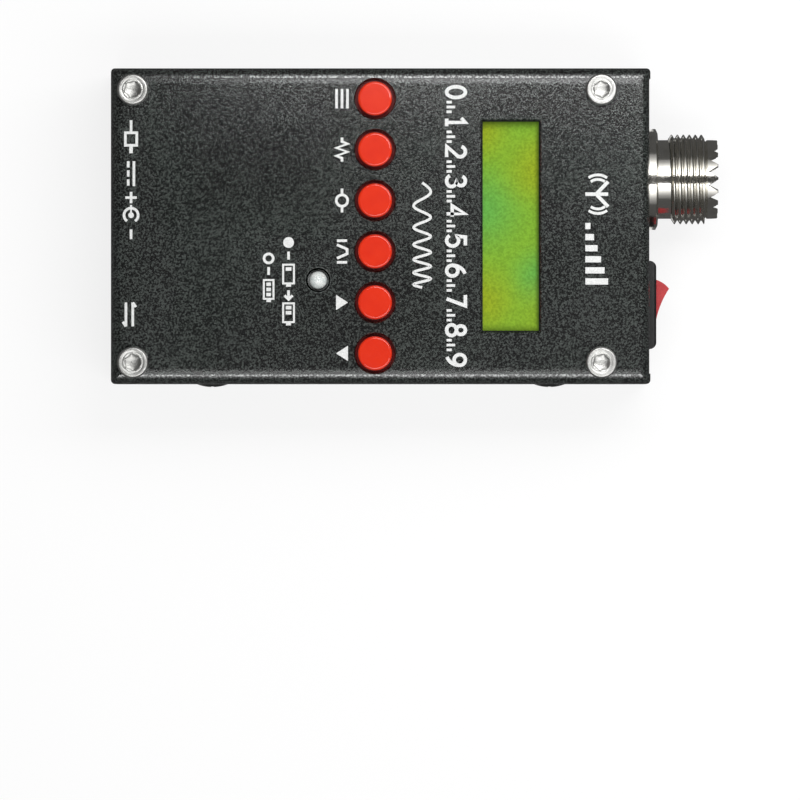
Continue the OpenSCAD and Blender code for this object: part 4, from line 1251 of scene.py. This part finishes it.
def numeral_strokes(digit: int) -> list[list[Point2]]:
    """Lists the strokes of a numeral in a cell of width 1 and height 1.

    Args:
        digit: The numeral, from 0 to 9.

    Returns:
        Each stroke's path.
    """
    if digit == 9:
        return [[(1 - u, 1 - v) for u, v in path] for path in numeral_strokes(6)]
    stem = arc((1.05, 0.3), (1.05, 0.7), 180, 105, 10)
    upper = arc((0.46, 0.76), (0.44, 0.24), 160, -90, 16)
    lower = arc((0.46, 0.26), (0.52, 0.26), 90, -160, 18)
    flag = [(0.92, 1.0), (0.14, 1.0), (0.06, 0.56)]
    strokes: dict[int, list[list[Point2]]] = {
        0: [circle((0.5, 0.5), 0.5, 28)],
        1: [[(0.15, 0.78), (0.55, 1.0), (0.55, 0.0)], dash(0.2, 0.9, 0.0)],
        2: [arc((0.5, 0.72), (0.48, 0.28), 165, -25, 14) + dash(0.0, 1.0, 0.0)],
        3: [upper + lower[1:]],
        4: [[(0.75, 0.0), (0.75, 1.0), (0.0, 0.3), (1.0, 0.3)]],
        5: [flag + arc((0.46, 0.32), (0.52, 0.32), 125, -150, 16)],
        6: [arc((0.5, 0.3), (0.5, 0.3), 0, 360, 24), stem],
        7: [[(0.0, 1.0), (1.0, 1.0), (0.35, 0.0)]],
        8: [arc((0.5, 0.76), (0.4, 0.24), 0, 360, 20), arc((0.5, 0.26), (0.5, 0.26), 0, 360, 24)],
    }
    return strokes[digit]


@dataclass
class FacePrint(Assembly):
    """Generic white signs printed where the face carries its legends.

    Every sign is drawn along a line of print that reads towards -Y, with its top towards +X.
    The places on the face are in metres, and each sign's own points are in millimetres along
    and above its line. Each stroke is a little higher or lower than the last, so that no two
    that cross lie in one plane.
    """

    face: float = 24.0 * MM
    sunk: float = 0.01 * MM
    proud: float = 0.012 * MM
    layer: float = 0.002 * MM
    layers: int = 4
    strokes: int = 0
    middle: float = 1.1
    scale_at: Point2 = (11.6 * MM, 24.5 * MM)
    scale_length: float = 49.0
    numeral_w: float = 1.9
    numeral_h: float = 3.3
    numerals: int = 10
    tick: float = 1.5
    tick_gap: float = 0.85
    sweep_at: Point2 = (5.8 * MM, 7.6 * MM)
    sweep_length: float = 18.4
    sweep_height: float = 3.0
    sweep_waves: float = 6.0
    aerial_at: Point2 = (36.0 * MM, 9.0 * MM)
    key_signs_x: float = -7.9 * MM
    lamp_upper_at: Point2 = (-17.3 * MM, -1.9 * MM)
    lamp_lower_at: Point2 = (-20.7 * MM, -4.7 * MM)
    cell_length: float = 3.3
    power_at: Point2 = (-45.0 * MM, 18.6 * MM)
    data_at: Point2 = (-45.3 * MM, -13.3 * MM)

    def build(self) -> None:
        """Prints every sign as a piece of its own."""
        signs = {"scale_print": self.scale, "sweep_print": self.sweep, "aerial_print": self.aerial,
                 "key_sign_print": self.key_signs, "lamp_sign_print": self.lamp_signs,
                 "power_sign_print": self.power_signs, "data_sign_print": self.data_signs}
        for name, sign in signs.items():
            shape = Shape()
            sign(shape)
            shape.piece(name, PRINT, "case")

    def on_face(self, base: Point2, path: Sequence[Point2]) -> list[Point2]:
        """Gives the X and Y of points on a line of print.

        Args:
            base: The X and Y of the line's start.
            path: The points, as how far along the line and how high above it, in millimetres.

        Returns:
            Their places on the face.
        """
        return [(base[0] + v * MM, base[1] - u * MM) for u, v in path]

    def draw(self, shape: Shape, base: Point2, line: Line, *paths: Sequence[Point2]) -> None:
        """Prints strokes of one width.

        Args:
            shape: The shape that takes them.
            base: The X and Y of the print line's start.
            line: Their width.
            paths: Their middles, in millimetres along and above the print line.
        """
        for path in paths:
            self.strokes += 1
            layer = self.strokes % self.layers
            shape.stroke(self.on_face(base, path), line.value, self.face - self.sunk,
                         self.face + self.proud + layer * self.layer)

    def fill(self, shape: Shape, base: Point2, outline: Sequence[Point2]) -> None:
        """Prints a filled form, given in millimetres along and above the print line."""
        shape.slab(self.on_face(base, outline), self.face - self.sunk, self.face + self.proud)

    def scale(self, shape: Shape) -> None:
        """Prints a tick scale numbered from 0 to 9 across the face.

        Args:
            shape: The shape that takes the sign.
        """
        pitch = (self.scale_length - self.numeral_w) / (self.numerals - 1)
        middle = (pitch + self.numeral_w) / 2
        for digit in range(self.numerals):
            base = (self.scale_at[0], self.scale_at[1] - digit * pitch * MM)
            for path in numeral_strokes(digit):
                self.draw(shape, base, Line.BOLD,
                          [(u * self.numeral_w, v * self.numeral_h) for u, v in path])
            if digit < self.numerals - 1:
                for side in (-1, 0, 1):
                    self.draw(shape, base, Line.PLAIN, upright(
                        middle + side * self.tick_gap, 0.0, self.tick * (0.6 if side else 1.0)))

    def sweep(self, shape: Shape) -> None:
        """Prints a wave whose pitch narrows along the line.

        Args:
            shape: The shape that takes the sign.
        """
        steps = 144
        path = []
        for step in range(steps + 1):
            share = step / steps
            turn = 2 * math.pi * self.sweep_waves * (0.45 * share + 0.55 * share ** 2)
            path.append((self.sweep_length * share, self.sweep_height / 2 * (1 + math.sin(turn))))
        self.draw(shape, self.sweep_at, Line.PLAIN, path)

    def aerial(self, shape: Shape) -> None:
        """Prints an aerial that radiates, and rising bars.

        Args:
            shape: The shape that takes the sign.
        """
        mast, top, bars = 3.4, 4.0, 6
        self.draw(shape, self.aerial_at, Line.BOLD, upright(mast, 0.0, top),
                  [(mast - 2.2, top), (mast, 1.9), (mast + 2.2, top)])
        self.draw(shape, self.aerial_at, Line.PLAIN,
                  *[arc((mast, 2.2), (reach * side, reach * 0.9), -32, 32, 8)
                    for side in (-1, 1) for reach in (2.6, 3.4)])
        for i in range(bars):
            middle, rise = 9.0 + i * 1.95, 0.9 + i * 0.62
            self.fill(shape, self.aerial_at, [(middle - 0.55, 0.0), (middle - 0.55, rise),
                                              (middle + 0.55, rise), (middle + 0.55, 0.0)])

    def key_signs(self, shape: Shape) -> None:
        """Prints a simple sign beside each key: lines, a zigzag, a ring, a slope and arrowheads.

        Args:
            shape: The shape that takes the sign.
        """
        boxes = [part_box(f"key_cap_{i}") for i in range(1, KeyRow().count + 1)]
        places = sorted(((low.y + high.y) / 2 for low, high in boxes), reverse=True)
        mid = self.middle
        zigzag = [(-2.1, mid), (-1.4, mid), (-1.0, 2.1), (-0.3, 0.1), (0.4, 2.1), (1.1, 0.1),
                  (1.5, mid), (2.1, mid)]
        slope = [(-1.2, 0.2), (-0.4, 2.0), (0.4, 2.0), (1.2, 0.2)]
        signs = ([dash(-1.7, 1.7, height) for height in (0.15, mid, 2.05)],
                 [zigzag],
                 [circle((0.0, mid), 1.0), dash(-2.1, -1.2, mid), dash(1.2, 2.1, mid)],
                 [upright(-1.9, 0.2, 2.0), upright(1.9, 0.2, 2.0), slope])
        for y, sign in zip(places, signs):
            self.draw(shape, (self.key_signs_x, y), Line.PLAIN, *sign)
        for y, way in zip(places[len(signs):], (1, -1)):
            tip, foot = mid + 1.05 * way, mid - 1.05 * way
            self.fill(shape, (self.key_signs_x, y), [(-1.35, foot), (0.0, tip), (1.35, foot)][::way])

    def cell_sign(self, shape: Shape, base: Point2, start: float, height: float, bars: int) -> None:
        """Prints a battery.

        Args:
            shape: The shape that takes it.
            base: The X and Y of the print line's start.
            start: How far along the line it starts, in millimetres.
            height: Its height in millimetres.
            bars: How many of its three bars are filled.
        """
        low, high, end = 0.15, height - 0.15, start + self.cell_length
        self.draw(shape, base, Line.FINE,
                  [(start, low), (end, low), (end, high), (start, high), (start, low)])
        self.draw(shape, base, Line.PLAIN, upright(end + 0.35, height * 0.3, height * 0.7))
        self.draw(shape, base, Line.BOLD,
                  *[upright(start + 0.75 + i * 0.9, low + 0.45, high - 0.45) for i in range(bars)])

    def lamp_signs(self, shape: Shape) -> None:
        """Prints what the lamp's two colours stand for: cells that fill, and a full cell.

        Args:
            shape: The shape that takes the sign.
        """
        upper, lower, mid = self.lamp_upper_at, self.lamp_lower_at, self.middle
        self.fill(shape, upper, circle((1.0, mid), 0.95)[:0:-1])
        self.draw(shape, upper, Line.PLAIN, dash(2.6, 4.0, mid))
        self.cell_sign(shape, upper, 4.9, 2.2, 1)
        self.draw(shape, upper, Line.PLAIN, dash(9.4, 11.0, mid),
                  [(10.3, mid + 0.7), (11.0, mid), (10.3, mid - 0.7)])
        self.cell_sign(shape, upper, 11.7, 2.2, 2)
        self.draw(shape, lower, Line.PLAIN, circle((1.0, 1.0), 0.8), dash(2.5, 3.9, 1.0))
        self.cell_sign(shape, lower, 4.8, 2.0, 3)

    def power_signs(self, shape: Shape) -> None:
        """Prints a plug, the direct current sign and the plug's polarity.

        Args:
            shape: The shape that takes the sign.
        """
        base, mid = self.power_at, self.middle
        self.draw(shape, base, Line.PLAIN, dash(0.0, 2.2, mid),
                  [(2.2, 0.1), (2.2, 2.1), (4.4, 2.1), (4.4, 0.1), (2.2, 0.1)])
        self.draw(shape, base, Line.BOLD, dash(4.6, 5.8, mid))
        self.draw(shape, base, Line.PLAIN, dash(7.2, 11.6, 1.6),
                  *[dash(start, start + 1.1, 0.6) for start in (7.2, 8.8, 10.4)],
                  dash(12.6, 14.6, mid), upright(13.6, 0.1, 2.1),
                  arc((16.7, mid), (1.25, 1.25), 35, 325, 20))
        self.fill(shape, base, circle((16.7, mid), 0.5, 20)[:0:-1])
        self.draw(shape, base, Line.FINE, dash(14.9, 16.5, mid))
        self.draw(shape, base, Line.PLAIN, dash(19.2, 20.9, mid))

    def data_signs(self, shape: Shape) -> None:
        """Prints a pair of half arrows for the data socket.

        Args:
            shape: The shape that takes the sign.
        """
        middle, half, barb = 2.25, 2.1, (0.8, 0.55)
        for height, way in ((0.5, 1), (1.7, -1)):
            tip = middle + half * way
            self.draw(shape, self.data_at, Line.PLAIN, dash(middle - half * way, tip, height),
                      [(tip - barb[0] * way, height - barb[1] * way), (tip, height)])


# ---- studio ----


@dataclass(frozen=True)
class Softbox:
    """A softbox over a long side of the part, brightest at its edge near the zenith.

    Its side is 1 towards +Y and -1 towards -Y, and its spread is a share of its distance.
    """

    name: str
    side: int
    power: float
    far: float
    slide: float
    tilt: float = 34.0
    spread: Point2 = (1.05, 0.81)
    fall: float = 2.4
    rest: float = 0.03

    def hang(self) -> None:
        """Hangs the softbox."""
        light = bpy.data.lights.new(self.name, "AREA")
        light.shape = "RECTANGLE"
        light.size, light.size_y = (share * self.far for share in self.spread)
        light.energy = self.power
        light.use_nodes = True
        paint = Paint(light.node_tree)
        place = paint.node("ShaderNodeNewGeometry", out="Parametric")
        across = paint.node("ShaderNodeSeparateXYZ", None, {0: place}, "Y")
        inward = 1.0 - across if self.side > 0 else across
        strength = inward.math("POWER", self.fall) + self.rest
        paint.close("ShaderNodeOutputLight", paint.node(
            "ShaderNodeEmission", None, {"Strength": strength}))
        holder = bpy.data.objects.new(self.name, light)
        lean = math.radians(self.tilt) * self.side
        way = Vector((0.0, math.sin(lean), math.cos(lean)))
        holder.location = way * self.far + Vector((self.slide, 0.0, 0.0))
        holder.rotation_euler = (-lean, 0.0, 0.0)
        holder.visible_camera = False
        bpy.context.scene.collection.objects.link(holder)


@dataclass
class Studio:
    """Pale floor, two softboxes, dark cards and the camera."""

    eye: Point3 = (3.4 * MM, -30.6 * MM, 1.5)
    face_z: float = 24 * MM
    field: float = 140.7 * MM
    film: float = 36.0
    sight: Point2 = (0.05, 20.0)
    boxes: tuple[Softbox, ...] = (Softbox("softbox_upper", 1, 1.5, 0.27, 0.11),
                                  Softbox("softbox_lower", -1, 5.0, 0.6, 0.15, 35.0))
    fill: float = 0.3
    facets: int = 48
    floor_r: float = 6.0
    floor_z: float = -0.02 * MM
    floor_tone: float = 0.8
    floor_shown: float = 0.22
    floor_glow: float = 0.8
    tent_r: float = 0.7
    tent_h: float = 1.42
    tent_tone: float = 0.085
    lid_tone: float = 0.03
    sheet_margin: float = 1 * MM
    sheet_z: float = 0.05 * MM

    def build(self) -> None:
        """Sets up the camera, the floor, the lights and the cards."""
        self.view()
        self.floor()
        self.sky()
        for box in self.boxes:
            box.hang()
        self.cards()

    def view(self) -> None:
        """Looks straight down on the face, with the part in the upper half."""
        eye = bpy.data.cameras.new("eye")
        eye.sensor_width = self.film
        eye.lens = self.film * (self.eye[2] - self.face_z) / self.field
        eye.clip_start, eye.clip_end = self.sight
        holder = bpy.data.objects.new("eye", eye)
        holder.location = self.eye
        bpy.context.scene.collection.objects.link(holder)
        bpy.context.scene.camera = holder
        bpy.context.scene.view_settings.view_transform = "Standard"

    def seen(self, paint: Paint) -> Value:
        """Gives 1 for rays from the camera, from gloss and through glass, and 0 for the rest."""
        path = paint.node("ShaderNodeLightPath", out="Is Camera Ray")
        return path.math("MAXIMUM", path.sibling("Is Glossy Ray")).math(
            "MAXIMUM", path.sibling("Is Transmission Ray"))

    def round(self, radius: float) -> list[Point2]:
        """Gives the outline of a round card."""
        return circle((0.0, 0.0), radius, self.facets)[:-1]

    def stand(self, name: str, points: Sequence[Point3], faces: Sequence[Face],
              shader: Callable[[Paint], Value]) -> bpy.types.Object:
        """Stands a floor or a card.

        Args:
            name: Its name.
            points: Its points.
            faces: Its faces.
            shader: What adds its shader to its nodes.

        Returns:
            The floor or card.
        """
        mesh = bpy.data.meshes.new(name)
        mesh.from_pydata(points, [], faces)
        material = bpy.data.materials.new(name)
        material.use_nodes = True
        paint = Paint(material.node_tree)
        paint.close("ShaderNodeOutputMaterial", shader(paint))
        mesh.materials.append(material)
        made = bpy.data.objects.new(name, mesh)
        bpy.context.scene.collection.objects.link(made)
        return made

    def floor(self) -> None:
        """Lays the pale floor under the part, which keeps the part's shadow."""
        def shader(paint: Paint) -> Value:
            """Shows a near white that carries the shadow, and lights as a plain pale floor."""
            plain = paint.node("ShaderNodeBsdfDiffuse", None, {"Color": grey(self.floor_tone)})
            shown = paint.node("ShaderNodeBsdfDiffuse", None, {"Color": grey(self.floor_shown)})
            glow = paint.node("ShaderNodeEmission", None, {"Strength": self.floor_glow})
            pale = paint.node("ShaderNodeAddShader", None, {0: shown, 1: glow})
            return paint.node("ShaderNodeMixShader", None, {0: self.seen(paint), 1: plain, 2: pale})

        points = [(x, y, self.floor_z) for x, y in self.round(self.floor_r)]
        self.stand("floor", points, [tuple(range(self.facets))], shader)

    def sky(self) -> None:
        """Lights the part softly from all sides in front of a white background."""
        world = bpy.data.worlds.new("studio")
        bpy.context.scene.world = world
        world.use_nodes = True
        paint = Paint(world.node_tree)
        strength = self.fill + self.seen(paint) * (1.0 - self.fill)
        paint.close("ShaderNodeOutputWorld", paint.node(
            "ShaderNodeBackground", None, {"Color": grey(1.0), "Strength": strength}))

    def card(self, name: str, tone: float, points: Sequence[Point3], faces: Sequence[Face]) -> None:
        """Stands a dark card that only gloss sees, a painted dark reflection.

        Args:
            name: Its name.
            tone: How bright it is.
            points: Its points.
            faces: Its faces.
        """
        made = self.stand(name, points, faces,
                          lambda paint: paint.node("ShaderNodeEmission", None, {"Color": grey(tone)}))
        made.visible_camera = made.visible_diffuse = made.visible_shadow = False
        made.visible_transmission = made.visible_volume_scatter = False

    def cards(self) -> None:
        """Stands the dark cards, which paint dark reflections: a tent, its lid, and a sheet round the
        part that paints the floor's shade into what gloss sees.
        """
        rim = self.round(self.tent_r)
        self.card("dark_tent", self.tent_tone,
                  [(x, y, z) for z in (0.0, self.tent_h) for x, y in rim], band(self.facets))
        self.card("dark_lid", self.lid_tone,
                  [(x, y, self.tent_h) for x, y in rim], [tuple(range(self.facets))])
        # painted reflection of shade: only gloss sees this dark sheet round the part, so metal and coat
        # show the floor there dark while the camera sees it white
        low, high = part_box("front_shell")
        margin, far = self.sheet_margin, self.tent_r
        inner = [(low.x - margin, low.y - margin), (high.x + margin, low.y - margin),
                 (high.x + margin, high.y + margin), (low.x - margin, high.y + margin)]
        outer = [(-far, -far), (far, -far), (far, far), (-far, far)]
        self.card("dark_sheet", self.tent_tone,
                  [(x, y, self.sheet_z) for x, y in inner + outer], band(len(outer)))


def main() -> None:
    """Builds the studio and the part."""
    logging.basicConfig(level=logging.INFO, format="%(message)s")
    Studio().build()
    for assembly in (Case(), AntennaSocket(), PowerSwitch(), ChargingSockets(), FacePrint(),
                     KeyRow(), Display(), ChargeLamp(), Inside()):
        assembly.build()
        assembly.dress()


if __name__ == "__main__":
    main()
